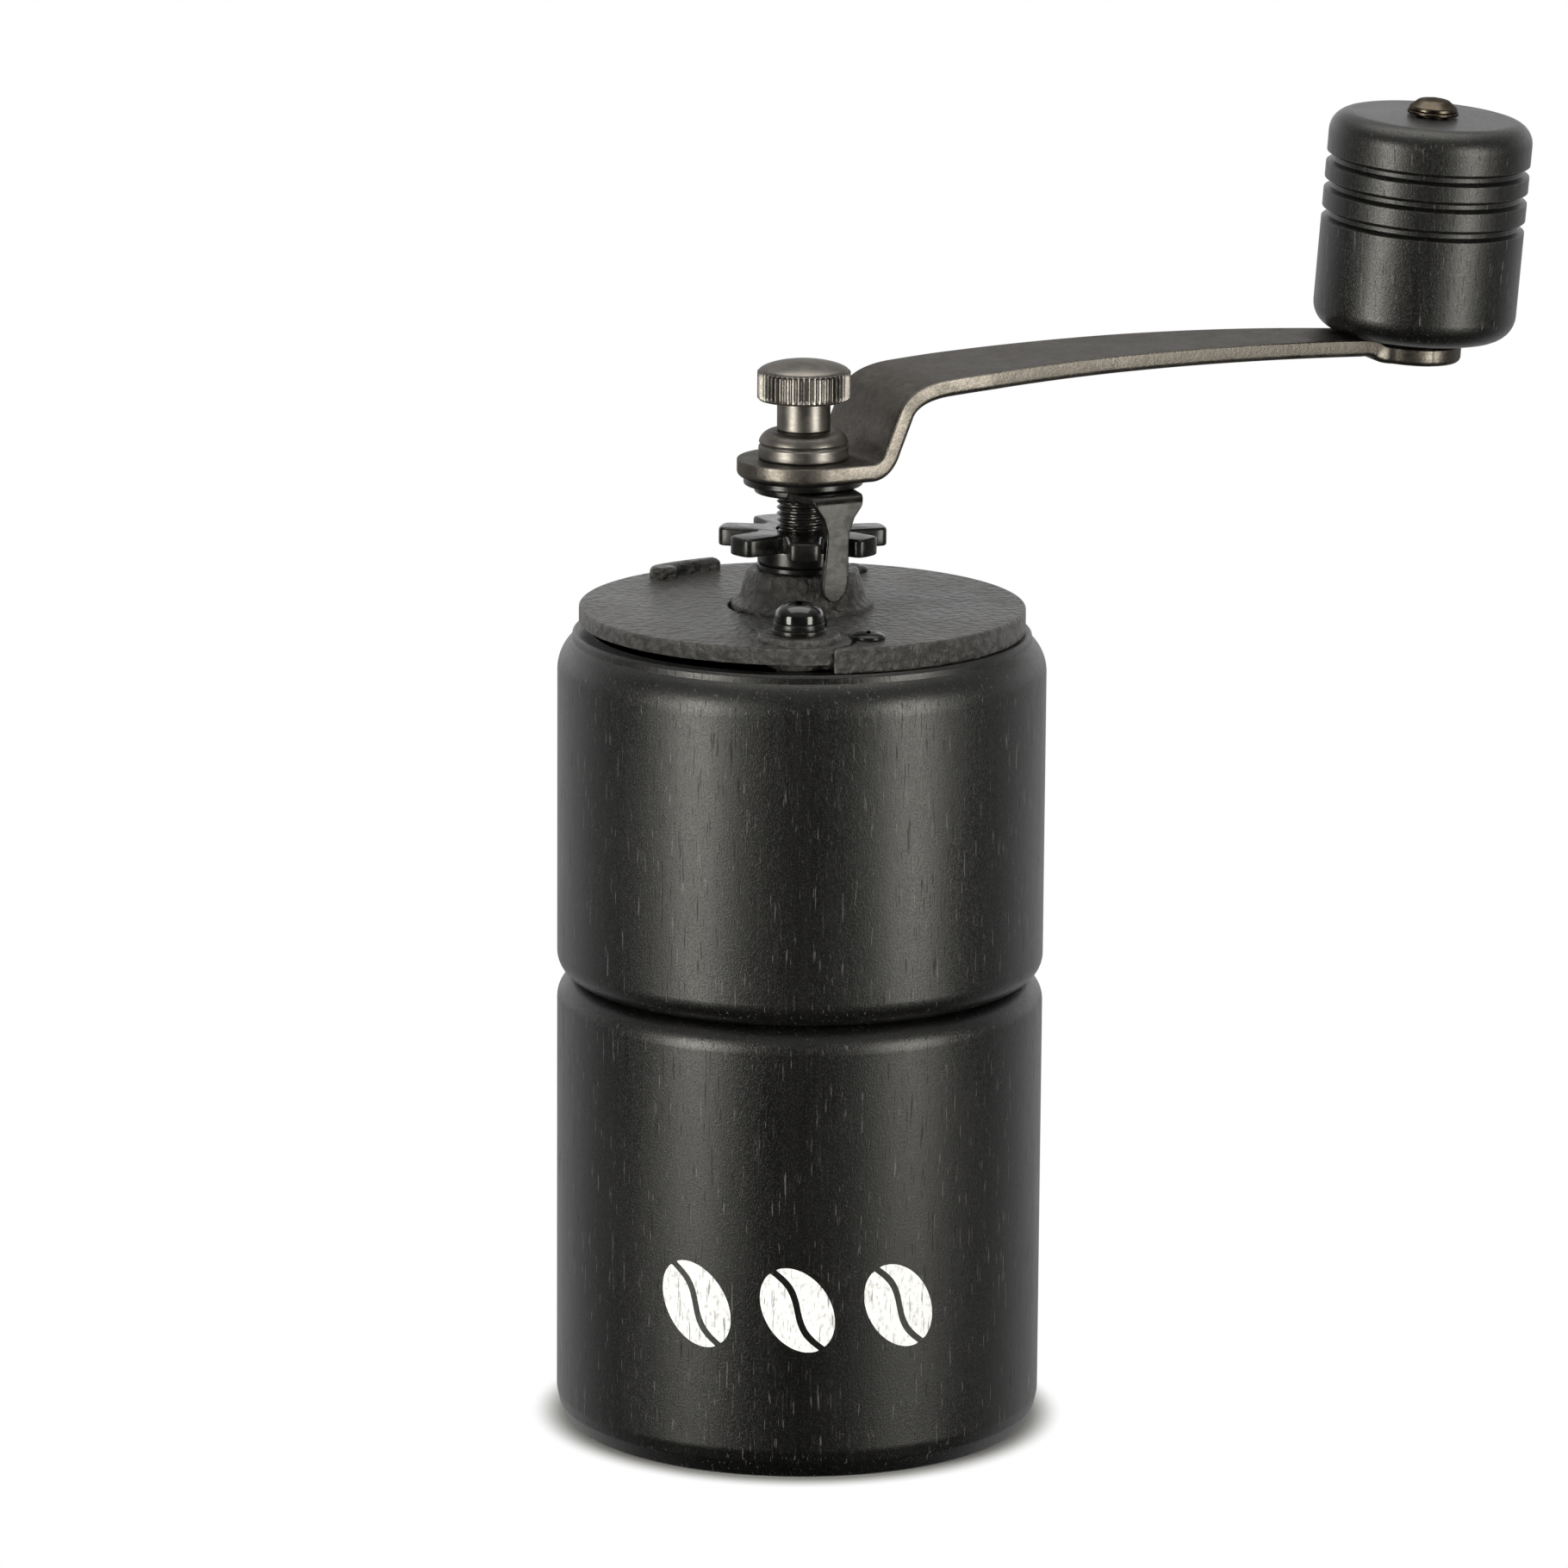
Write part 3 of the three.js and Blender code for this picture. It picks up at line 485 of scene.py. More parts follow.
def weld(piece, *others):
    """Joins the others to the piece in one closed skin."""
    for other in others:
        combine(piece, other, "UNION")
    return piece


def move(piece, matrix):
    """Puts a turn or a shift into the mesh itself, so the object stays at the origin."""
    piece.data.transform(matrix)
    return piece


def dress(piece, node, finish):
    """Finishes a piece: its material, the body it rides on, and the CAD node it stands for."""
    piece.data.materials.clear()
    piece.data.materials.append(finish)
    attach(piece, BODY_OF[node])
    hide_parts(node)
    print(f"{piece.name}: {len(piece.data.polygons)} faces, {piece.data.materials[0].name}")
    return piece


# %% [markdown]
# ## Effects that several finishes share
# Real finishes differ over a surface: edges wear, stains pool, plating mottles, castings pebble.
# Each of these effects is a node group with named sockets, built once, and every material takes
# what it needs at its own scale. The patterns read Object coordinates, in metres, so they stay
# put when a part moves, and a scale of 1000 means one cell per millimetre.

# %% Start a node group
def new_group(name, inputs, outputs):
    """An empty group. inputs maps a label to (kind, starting value), outputs a label to a kind."""
    tree = bpy.data.node_groups.new(name, "ShaderNodeTree")
    for label, (kind, start) in inputs.items():
        socket = tree.interface.new_socket(
            label, in_out="INPUT", socket_type=f"NodeSocket{kind}")
        if start is not None:
            socket.default_value = start
    for label, kind in outputs.items():
        tree.interface.new_socket(label, in_out="OUTPUT", socket_type=f"NodeSocket{kind}")
    incoming = tree.nodes.new("NodeGroupInput").outputs
    outgoing = tree.nodes.new("NodeGroupOutput").inputs
    return tree, incoming, outgoing


def use_group(tree, group, values):
    """Places a group in a material with its own values."""
    node = tree.nodes.new("ShaderNodeGroup")
    node.node_tree = group
    for name, value in values.items():
        if isinstance(value, bpy.types.NodeSocket):
            tree.links.new(value, node.inputs[name])
        else:
            node.inputs[name].default_value = value
    return node.outputs


# %% Patches of any size and stretch
def patches_group():
    """Smooth noise, cut between two levels into patches. Across and Along are cells per metre
    sideways and upwards."""
    tree, given, out = new_group(
        "patches",
        {"Vector": ("Vector", None), "Across": ("Float", 1000.0), "Along": ("Float", 1000.0),
         "From": ("Float", 0.4), "To": ("Float", 0.6)},
        {"Mask": "Float"})
    stretch = grow(tree, "ShaderNodeCombineXYZ",
                   {"X": given["Across"], "Y": given["Across"], "Z": given["Along"]})
    place = grow(tree, "ShaderNodeVectorMath", {0: given["Vector"], 1: stretch.outputs[0]},
                 operation="MULTIPLY")
    noise = grow(tree, "ShaderNodeTexNoise",
                 {"Vector": place.outputs[0], "Scale": 1.0, "Detail": 3.0, "Roughness": 0.55})
    level = remap(tree, noise.outputs["Fac"], given["From"], given["To"])
    tree.links.new(level, out["Mask"])
    return tree


def edge_wear_group():
    """Where a rounded look-alike of the normal leaves the true normal, there is an edge. Noise
    breaks the band up, so that wear comes and goes along it."""
    tree, given, out = new_group(
        "edge_wear",
        {"Vector": ("Vector", None), "Width": ("Float", 0.0005), "Breakup": ("Float", 900.0),
         "Amount": ("Float", 0.6)},
        {"Mask": "Float"})
    softened = grow(tree, "ShaderNodeBevel", {"Radius": given["Width"]}, samples=4)
    true = grow(tree, "ShaderNodeNewGeometry")
    turn = grow(tree, "ShaderNodeVectorMath",
                {0: softened.outputs["Normal"], 1: true.outputs["Normal"]},
                operation="DOT_PRODUCT")
    band = remap(tree, turn.outputs["Value"], 0.985, 0.8)
    rub = use_group(tree, bpy.data.node_groups["patches"],
                    {"Vector": given["Vector"], "Across": given["Breakup"],
                     "Along": given["Breakup"], "From": 0.38, "To": 0.62})["Mask"]
    worn = maths(tree, "MULTIPLY", maths(tree, "MULTIPLY", band, rub), given["Amount"])
    tree.links.new(worn, out["Mask"])
    return tree


def cast_skin_group():
    """A sand casting's skin: rounded pebbles of two sizes with pits between them."""
    tree, given, out = new_group(
        "cast_skin",
        {"Vector": ("Vector", None), "Size": ("Float", 1300.0)},
        {"Height": "Float", "Pits": "Float"})
    coarse = grow(tree, "ShaderNodeTexVoronoi",
                  {"Vector": given["Vector"], "Scale": given["Size"]}, feature="SMOOTH_F1")
    fine = grow(tree, "ShaderNodeTexNoise",
                {"Vector": given["Vector"], "Scale": maths(tree, "MULTIPLY", given["Size"], 2.2),
                 "Detail": 4.0, "Roughness": 0.65})
    pebbles = remap(tree, coarse.outputs["Distance"], 0.0, 0.75, 1.0, 0.0)
    height = maths(tree, "ADD", maths(tree, "MULTIPLY", pebbles, 0.55),
                   maths(tree, "MULTIPLY", fine.outputs["Fac"], 0.7))
    tree.links.new(height, out["Height"])
    tree.links.new(remap(tree, height, 0.62, 0.42), out["Pits"])
    return tree


patches = patches_group()
edge_wear = edge_wear_group()
cast_skin = cast_skin_group()
print("groups:", [g.name for g in bpy.data.node_groups])

# %% [markdown]
# ## Stained wood
# The cup, the body and the knob are turned from a hard wood with fine open pores, stained nearly
# black and sealed with a thin satin coat. The stain hides the colour of the grain but not its
# relief, so the pores still show as short upright dashes, and the rims where a hand or the
# lathe's finishing cut went through are a little lighter.

# %% Start a material
def new_material(name):
    """An empty material with its Principled shader and the coordinates that patterns read."""
    material = bpy.data.materials.new(name)
    material.use_nodes = True
    tree = material.node_tree
    tree.nodes.clear()
    shader = grow(tree, "ShaderNodeBsdfPrincipled")
    grow(tree, "ShaderNodeOutputMaterial", {"Surface": shader.outputs[0]})
    place = grow(tree, "ShaderNodeTexCoord").outputs["Object"]
    return material, tree, shader, place


def feed(tree, shader, **sockets):
    """Links or sets the shader's inputs; an underscore in a name stands for a space."""
    for name, value in sockets.items():
        socket = shader.inputs[name.replace("_", " ")]
        if isinstance(value, bpy.types.NodeSocket):
            tree.links.new(value, socket)
        else:
            socket.default_value = value


def bumped(tree, height, distance, strength=1.0):
    """The normal of a surface raised by height x distance metres."""
    values = {"Height": height, "Distance": distance, "Strength": strength}
    return grow(tree, "ShaderNodeBump", values).outputs[0]


# %% Stained wood
def stained_wood():
    """Near-black stain under satin: long grain, dark and filled pores, fine specks, worn rims."""
    material, tree, shader, place = new_material("stained_wood")

    def spots(across, along, low, high):
        values = {"Vector": place, "Across": across, "Along": along, "From": low, "To": high}
        return use_group(tree, patches, values)["Mask"]

    pores = spots(2900, 170, 0.635, 0.69)
    filled = spots(2600, 190, 0.65, 0.69)
    specks = spots(4200, 2600, 0.45, 0.70)
    grain = spots(700, 24, 0.30, 0.72)
    cloud = spots(32, 18, 0.35, 0.65)
    worn = use_group(tree, edge_wear, {"Vector": place, "Width": 0.0006, "Breakup": 1100.0,
                                       "Amount": 0.75})["Mask"]
    colour = blend(tree, grain, grey(0.0005, 0.02), grey(0.0011, 0.04))
    colour = blend(tree, maths(tree, "MULTIPLY", cloud, 0.45), colour, grey(0.0018, 0.06))
    colour = blend(tree, maths(tree, "MULTIPLY", pores, 0.85), colour, grey(0.0003))
    colour = blend(tree, maths(tree, "MULTIPLY", specks, 0.4), colour, grey(0.007, 0.05))
    colour = blend(tree, maths(tree, "MULTIPLY", filled, 0.8), colour, grey(0.07, 0.05))
    colour = blend(tree, worn, colour, grey(0.045, 0.04))
    rough = maths(tree, "ADD", remap(tree, cloud, 0, 1, 0.33, 0.38),
                  maths(tree, "MULTIPLY", pores, 0.35))
    rough = maths(tree, "ADD", rough, maths(tree, "MULTIPLY", grain, 0.04))
    height = maths(tree, "SUBTRACT", maths(tree, "MULTIPLY", specks, 0.22), pores)
    feed(tree, shader, Base_Color=colour, Roughness=rough, IOR=1.5, Coat_Weight=0.2,
         Coat_Roughness=0.3, Normal=bumped(tree, height, 0.00008, 0.9))
    return material


wood = stained_wood()
print("stained wood:", len(wood.node_tree.nodes), "nodes")

# %% [markdown]
# ## Castings
# The half plate with its neck, the swinging lid and the hopper inside are sand cast iron,
# painted black and baked. The skin is pebbled, the paint is thin on every edge, and a low light
# turns the flat tops light grey.

# %% Cast iron
def cast_iron():
    """Black paint on a pebbled casting, thin on the edges, with painted shade in the pits."""
    material, tree, shader, place = new_material("cast_iron")
    skin = use_group(tree, cast_skin, {"Vector": place, "Size": 800.0})
    cloud = use_group(tree, patches, {"Vector": place, "Across": 90.0, "Along": 90.0,
                                      "From": 0.35, "To": 0.65})["Mask"]
    worn = use_group(tree, edge_wear, {"Vector": place, "Width": 0.0005, "Breakup": 1400.0,
                                       "Amount": 0.85})["Mask"]
    colour = blend(tree, cloud, grey(0.09, 0.02), grey(0.11, 0.03))
    # Painted shade: the skin's pits are darkened towards near-black, as shade falling in them
    # would look.
    colour = blend(tree, maths(tree, "MULTIPLY", skin["Pits"], 0.45), colour, grey(0.02))
    colour = blend(tree, worn, colour, grey(0.2, 0.07))
    rough = remap(tree, cloud, 0, 1, 0.30, 0.38)
    feed(tree, shader, Base_Color=colour, Roughness=rough, Metallic=0.7, IOR=1.5,
         Normal=bumped(tree, skin["Height"], 0.0013, 1.0))
    return material


iron = cast_iron()
print("cast iron:", len(iron.node_tree.nodes), "nodes")

# %% [markdown]
# ## Plated and blackened steel
# The crank is plated in a brownish black nickel, its nut and domed washer in a cleaner dark
# nickel; the star and the small screws and washers are blackened steel, and so is the clip; the
# knob's rivet has gone bronze; the shaft is dark with oil and the burrs are bare. They differ in
# colour, gloss, mottling and wear but not in build, so one function makes them all from a few
# numbers. Faces that stand upright on the crank are painted a lighter tone than its flat ones: a
# painted sheen that stands in for the soft boxes' light on them.

# %% A steel finish
def upright(tree):
    """1 on faces whose own normal, in the piece's frame, is level, and 0 on all others."""
    normal = grow(tree, "ShaderNodeNewGeometry").outputs["True Normal"]
    own = grow(tree, "ShaderNodeVectorTransform", {0: normal}, vector_type="NORMAL",
               convert_from="WORLD", convert_to="OBJECT").outputs[0]
    up = maths(tree, "ABSOLUTE", grow(tree, "ShaderNodeSeparateXYZ", {0: own}).outputs["Z"])
    return remap(tree, up, 0.38, 0.24)


def steel(name, base, mottled, worn, rough, metallic=1.0, size=260.0, wear=0.6, grit=0.5,
          brushed=(900.0, 900.0), coat=0.0, edge_tint=1.0, sides=None):
    """base and mottled are the two tones of the plating, worn the tone of rubbed edges, rough
    the two roughnesses they mix between, and brushed the cells per metre of the fine marks.
    Upright faces take the tone sides, if it is given: a painted sheen that stands in for the soft
    boxes' light on those faces."""
    material, tree, shader, place = new_material(name)

    def spots(across, along, low, high):
        values = {"Vector": place, "Across": across, "Along": along, "From": low, "To": high}
        return use_group(tree, patches, values)["Mask"]

    mottle = spots(size, size, 0.38, 0.64)
    smudge = spots(size * 0.25, size * 0.25, 0.35, 0.7)
    marks = spots(*brushed, 0.3, 0.7)
    edge = use_group(tree, edge_wear, {"Vector": place, "Width": 0.00035, "Breakup": 1500.0,
                                       "Amount": wear})["Mask"]
    colour = blend(tree, mottle, base, mottled)
    # Painted sheen: upright faces are given the lighter sides tone in place of the soft boxes'
    # light on them.
    if sides is not None:
        side_sheen = blend(tree, maths(tree, "MULTIPLY", mottle, 0.3), sides, base)
        colour = blend(tree, upright(tree), colour, side_sheen)
    colour = blend(tree, edge, colour, worn)
    gloss = maths(tree, "ADD", remap(tree, smudge, 0, 1, rough[0], rough[1]),
                  remap(tree, marks, 0, 1, -0.03, 0.04))
    height = maths(tree, "ADD", marks, maths(tree, "MULTIPLY", mottle, 0.6))
    feed(tree, shader, Base_Color=colour, Roughness=gloss, Metallic=metallic, Coat_Weight=coat,
         Coat_Roughness=0.12, Specular_Tint=grey(edge_tint),
         Normal=bumped(tree, height, 0.00001, grit))
    return material


# black_nickel's sides tone is a painted sheen on the crank's upright faces.
black_nickel = steel("black_nickel", grey(0.115, 0.07), grey(0.14, 0.09), grey(0.32, 0.07),
                     (0.36, 0.46), size=900.0, brushed=(1800.0, 2600.0), wear=0.75, grit=1.0,
                     edge_tint=0.55, sides=grey(0.135, 0.11))
dark_nickel = steel("dark_nickel", grey(0.17, 0.06), grey(0.21, 0.08), grey(0.36, 0.05),
                    (0.36, 0.46), brushed=(700.0, 3500.0), edge_tint=0.6)
black_steel = steel("black_steel", grey(0.012), grey(0.022, 0.03), grey(0.16, 0.03),
                    (0.22, 0.32), metallic=0.6, wear=0.8)
black_gloss = steel("black_gloss", grey(0.006), grey(0.009), grey(0.03), (0.12, 0.18),
                    metallic=0.4, grit=0.2, coat=0.5)
clip_steel = steel("clip_steel", grey(0.008, 0.06), grey(0.013, 0.08), grey(0.25, 0.05),
                   (0.26, 0.36), metallic=0.6, size=900.0, wear=0.9)
shaft_steel = steel("shaft_steel", grey(0.05, 0.03), grey(0.08, 0.05), grey(0.28, 0.04),
                    (0.26, 0.36), metallic=0.9)
bronze_steel = steel("bronze_steel", grey(0.06, 0.22), grey(0.09, 0.2), grey(0.26, 0.15),
                     (0.28, 0.40), size=500.0, edge_tint=0.45)
plain_steel = steel("plain_steel", grey(0.34, 0.02), grey(0.42, 0.03), grey(0.62),
                    (0.28, 0.4), brushed=(500.0, 2600.0))
print("steels:", [m.name for m in bpy.data.materials if "steel" in m.name or "nickel" in m.name])

# %% [markdown]
# ## The wooden cup
# The cup is a plain turned cylinder with a small chamfered foot and a generous round-over at its
# top rim, so that it meets the body above in a soft groove. Inside it is bored out to a floor
# with a rounded corner. It is one closed lathe profile from the middle of the foot, up the
# outside, over the rim, down the inside and back to the middle of the floor.

# %% Turn the cup
cup_radius, _, cup_top = span("grounds_cup")[1]
CUP_WALL = 6.0
CUP_FLOOR = 8.0
SEAM_ROUND = 4.0


def cup_profile():
    """Foot, outside, round-over, rim, bore and floor, from the axis back to the axis."""
    bore = cup_radius - CUP_WALL
    return rounded([
        (0, 0, 0),
        (cup_radius - 1.7, 0, 0.5),
        (cup_radius - 0.4, 2.7, 1.6),
        (cup_radius, 4.6, 4.0),
        (cup_radius, cup_top, SEAM_ROUND),
        (bore, cup_top, 0.7),
        (bore, CUP_FLOOR, 3.0),
        (0, CUP_FLOOR, 0),
    ], steps=10)


cup = turned("wooden_cup", cup_profile(), columns=256)
dress(cup, "grounds_cup", wood)

# %% [markdown]
# ## The wooden body
# The body is a turned ring. A short spigot below plugs it into the cup, the outside starts with
# the same round-over as the cup's rim, and the top rolls in over a shoulder to a thin upright lip
# that the castings sit on. The bore is stepped: wide for the hopper above, narrow for the burrs.

# %% Turn the body
spigot_low = span("upper_body")[0][2]
wood_top = span("upper_body")[1][2]
body_low = cup_top + 0.05
WIDE_BORE = cup_radius - 5.6
NARROW_BORE = cup_radius - 11.5
LEDGE = wood_top - 22.7
SHOULDER = 6.8
SHOULDER_SWEEP = 50
FLANGE_SCREW_BORE = 1.6


def body_profile():
    """Spigot and lower round-over, then the shoulder's arc, then lip, wide bore and ledge."""
    spigot = cup_radius - CUP_WALL - 0.25
    below = rounded([
        (NARROW_BORE, LEDGE, 0),
        (NARROW_BORE, spigot_low, 0.6),
        (spigot, spigot_low, 1.0),
        (spigot, body_low, 0.2),
        (cup_radius, body_low, SEAM_ROUND),
        (cup_radius, body_low + 20, 0),
    ], steps=10)
    base = wood_top - 1.4 - SHOULDER * math.sin(math.radians(SHOULDER_SWEEP))
    shoulder = arc((cup_radius - SHOULDER, base), SHOULDER, 0, SHOULDER_SWEEP, 14)
    lip = shoulder[-1, 0]
    above = rounded([
        (*shoulder[-1], 0),
        (lip - 0.02, wood_top - 0.9, 0.25),
        (lip - 0.05, wood_top - 0.45, 0.2),
        (lip - 0.45, wood_top, 0.2),
        (WIDE_BORE, wood_top, 0.3),
        (WIDE_BORE, LEDGE, 0.4),
        (NARROW_BORE, LEDGE, 0),
    ], steps=4)
    return np.vstack((below[:-1], shoulder[:1] - (0, 0.15), shoulder, above[1:-1]))


body = turned("wooden_body", body_profile(), columns=256)
screw_ring = [middle(f"frame_screw_{i}") for i in (1, 2, 3)]
cut(body, *[rod("hole", FLANGE_SCREW_BORE, LEDGE - 9, LEDGE + 2, place, 24)
            for place in screw_ring])
dress(body, "upper_body", wood)

# %% [markdown]
# ## The printed mark
# The front of the cup carries a small white print. A generic mark stands in for the maker's own:
# three plain coffee beans in a row. Each bean is two halves with the wavy crease left bare between
# them. A half is a strip between the crease line and the oval's edge, laid on the cylinder and
# a few hundredths of a millimetre thick, as printed ink is.

# %% Print the beans
MARK_HEIGHT = 28.6
BEAN_LONG = 7.6
BEAN_SHORT = 5.4
BEAN_TILT = 32
BEAN_SPACING = 17.0
CREASE = 0.55
CREASE_SWING = 0.9
INK = 0.03


def bean_half(name, shift, side):
    """Rows run from tip to tip of the oval; columns from crease x = 0.9 sin(pi y / long) to edge
    x = short sqrt(1 - (y / long)^2), then back underneath, which closes the ink's film."""
    reach = 0.985 * BEAN_LONG
    y = (reach * np.sin(np.linspace(-np.pi / 2, np.pi / 2, 40)))[:, None]
    edge = side * BEAN_SHORT * np.sqrt(1 - (y / BEAN_LONG) ** 2)
    crease = CREASE_SWING * np.sin(np.pi * y / BEAN_LONG) + side * CREASE
    edge = np.where(side * (edge - crease) > 0, edge, crease)
    across = np.concatenate((np.linspace(0, 1, 12), np.linspace(1, 0, 12)))[None]
    lift = np.concatenate((np.full(12, INK), np.full(12, -INK)))[None]
    x = crease + (edge - crease) * across
    tilt = math.radians(BEAN_TILT)
    u = x * math.cos(tilt) - y * math.sin(tilt) + shift
    v = x * math.sin(tilt) + y * math.cos(tilt) + MARK_HEIGHT
    turn = u / cup_radius
    r = cup_radius + lift + 0 * u
    return surface(name, np.stack((r * np.sin(turn), -r * np.cos(turn), v), -1))


def joined(name, parts):
    """One piece from several that don't touch."""
    work = bmesh.new()
    for part in parts:
        work.from_mesh(part.data)
    mesh = bpy.data.meshes.new(name)
    work.to_mesh(mesh)
    work.free()
    for part in parts:
        bpy.data.objects.remove(part)
    shade(mesh)
    piece = bpy.data.objects.new(name, mesh)
    bpy.context.scene.collection.objects.link(piece)
    return piece


def print_ink():
    """White ink with worn spots, that lets a few pores of the wood show through."""
    material, tree, shader, place = new_material("white_print")
    rub = use_group(tree, patches, {"Vector": place, "Across": 1500.0, "Along": 900.0,
                                    "From": 0.3, "To": 0.5})["Mask"]
    grain = use_group(tree, patches, {"Vector": place, "Across": 2600.0, "Along": 210.0,
                                      "From": 0.60, "To": 0.68})["Mask"]
    colour = blend(tree, rub, grey(0.48, 0.01), grey(0.74))
    colour = blend(tree, maths(tree, "MULTIPLY", grain, 0.8), colour, grey(0.10))
    feed(tree, shader, Base_Color=colour, Roughness=remap(tree, rub, 0, 1, 0.6, 0.45),
         Normal=bumped(tree, grain, -0.00003, 0.8))
    return material


halves = [bean_half(f"bean_{i}_{side}", shift, side)
          for i, shift in enumerate((-BEAN_SPACING, 0.0, BEAN_SPACING)) for side in (-1, 1)]
mark = joined("printed_beans", halves)
mark.data.materials.append(print_ink())
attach(mark, BODY_OF["grounds_cup"])
print("printed mark:", len(mark.data.polygons), "faces")

# %% [markdown]
# ## The top plate
# Half of the top is one casting: a half disc with the shaft's neck rising through it on a flared
# foot, and a low lug that carries the lid's pivot. The disc's outline is drawn as arcs and
# lines, thickened with rounded edges, and the turned neck and lug are welded on. The lid's pad
# turns in a round relief cut into the plate's corner.

# %% Cast the plate
lid_low = span("hopper_lid")[0][2]
RIDGE_HEIGHT = 2.0
plate_top = span("hopper_lid")[1][2] - RIDGE_HEIGHT
plate_low = wood_top + 0.05
neck_top = span("top_plate")[1][2]
PLATE_RADIUS = cup_radius - 3.5
PIVOT = np.array(middle("lid_screw"))
NECK_FOOT = 11.6
NECK_BASE = 10.0
NECK_TIP = 8.9
SHAFT_BORE = 4.5
PLATE_SEAM = 3.9
LID_SEAM = 3.5
RELIEF = 9.1
HEEL = 8.6
LUG_STEM = 3.6
LUG_HEAD = 5.2
LUG_BORE = 2.1
TAB_NEAR = -32.6
TAB_FAR = -25.4
PLATE_SCREW_BORE = 1.8


def meet(centre, radius, rim):
    """Where a circle about centre crosses the rim circle about the axis, on the +X side, as two
    angles in degrees: one about the axis and one about the centre."""
    gap = np.hypot(*centre)
    lean = math.acos((rim ** 2 + gap ** 2 - radius ** 2) / (2 * rim * gap))
    toward = math.atan2(centre[1], centre[0])
    point = rim * np.array((math.cos(toward + lean), math.sin(toward + lean)))
    about = np.arctan2(*(point - centre)[::-1])
    return math.degrees(toward + lean), math.degrees(about)


def plate_outline():
    """The rim's arc from the relief to the far end of the seam, then the relief's own arc."""
    rim, relief = meet(PIVOT, RELIEF, PLATE_RADIUS)
    far = math.degrees(math.acos(PLATE_SEAM / PLATE_RADIUS))
    near = math.degrees(math.acos((PLATE_SEAM - PIVOT[0]) / RELIEF))
    return np.vstack((
        arc((0, 0), PLATE_RADIUS, rim, far, 90),
        arc(PIVOT, RELIEF, near, relief, 24)[:-1],
    ))


def neck_profile():
    """A spigot below the plate, the flared foot on it, and the taper up to the neck's top."""
    return rounded([
        (SHAFT_BORE, plate_low - 3, 0.3),
        (NECK_BASE, plate_low - 3, 0.4),
        (NECK_FOOT, plate_low, 0),
        (NECK_FOOT, plate_top + 0.5, 0.35),
        (NECK_BASE + 0.3, plate_top + 1.4, 1.2),
        (NECK_TIP + 0.1, neck_top, 0.6),
        (SHAFT_BORE, neck_top, 0.3),
    ], closed=True, steps=5)


plate = slab("cast_plate", plate_outline(), plate_low, plate_top, 0.35, 0.45)
weld(plate, turned("neck", neck_profile(), 192))
lug_low = span("top_plate")[0][2]
lug = rounded([
    (0, lug_low, 0), (LUG_STEM, lug_low, 0.3), (LUG_STEM, plate_low, 0),
    (LUG_HEAD, plate_low, 0.2), (LUG_HEAD, lid_low - 0.1, 0.2), (0, lid_low - 0.1, 0)], steps=3)
tab = np.array([(PIVOT[0], TAB_NEAR), (PLATE_SEAM + 2, TAB_NEAR), (PLATE_SEAM + 2, TAB_FAR),
                (PIVOT[0], TAB_FAR)])
weld(plate, turned("lug", lug, 64, PIVOT),
     slab("tab", tab, plate_low + 0.02, lid_low - 0.12, 0.1, 0.1, 2))
cut(plate, rod("bore", SHAFT_BORE, plate_low - 6, neck_top + 2),
    rod("bore", LUG_BORE, lug_low - 2, plate_top, PIVOT, 48),
    *[rod("bore", PLATE_SCREW_BORE, plate_low - 2, plate_top + 2, middle(f"plate_screw_{i}"), 32)
      for i in (1, 2)])
dress(plate, "top_plate", iron)

# %% [markdown]
# ## The hopper lid
# The other half of the top is the lid. It swings level about a screw near the front, so its
# outline is a disc cut by the seam and by a round notch that clears the neck, with a round pad
# at the pivot. A low curved ridge with a bead at its end gives a finger something to push.

# %% Cast the lid
NOTCH = 12.2
SWEEP_GAP = 0.25
RIDGE_INSET = 4
RIDGE_HALF = 1.25
RIDGE_ENDS = (116, 138)
NUB_INSET = 5
NUB_AT = 137
NUB_RADIUS = 2.3
PAD_RADIUS = 6.75
LID_BORE = 2.2


def lid_outline():
    """The rim's arc, the heel round the pivot, and the notch that clears the neck."""
    rim, heel = meet(PIVOT, HEEL, PLATE_RADIUS)
    far = math.degrees(math.acos(LID_SEAM / PLATE_RADIUS))
    near = math.degrees(math.acos((LID_SEAM - PIVOT[0]) / HEEL))
    notch = math.degrees(math.acos(LID_SEAM / NOTCH))
    return np.vstack((
        arc((0, 0), PLATE_RADIUS, far, 360 + rim, 180),
        arc(PIVOT, HEEL, heel, near, 20)[1:],
        arc((0, 0), NOTCH, 360 - notch, notch, 60),
    ))


def passing_neck(swing):
    """The neck as the lid meets it while swinging: turned about the pivot by -swing."""
    lean = math.radians(-swing)
    offset = -PIVOT
    x = offset[0] * math.cos(lean) - offset[1] * math.sin(lean) + PIVOT[0]
    y = offset[0] * math.sin(lean) + offset[1] * math.cos(lean) + PIVOT[1]
    return rod("neck", NECK_FOOT + SWEEP_GAP, plate_low - 5, neck_top + 5, (x, y), 160)


def finger_ridge():
    """A bead that follows the rim: out along its outer side and back along the inner one."""
    radius = PLATE_RADIUS - RIDGE_INSET
    start, end = RIDGE_ENDS
    bead = np.vstack((arc((0, 0), radius + RIDGE_HALF, start, end, 30),
                      arc((0, 0), radius - RIDGE_HALF, end, start, 30)))
    return slab("ridge", bead, lid_low + 1, plate_top + RIDGE_HEIGHT, 0.2, 0.8, 6)


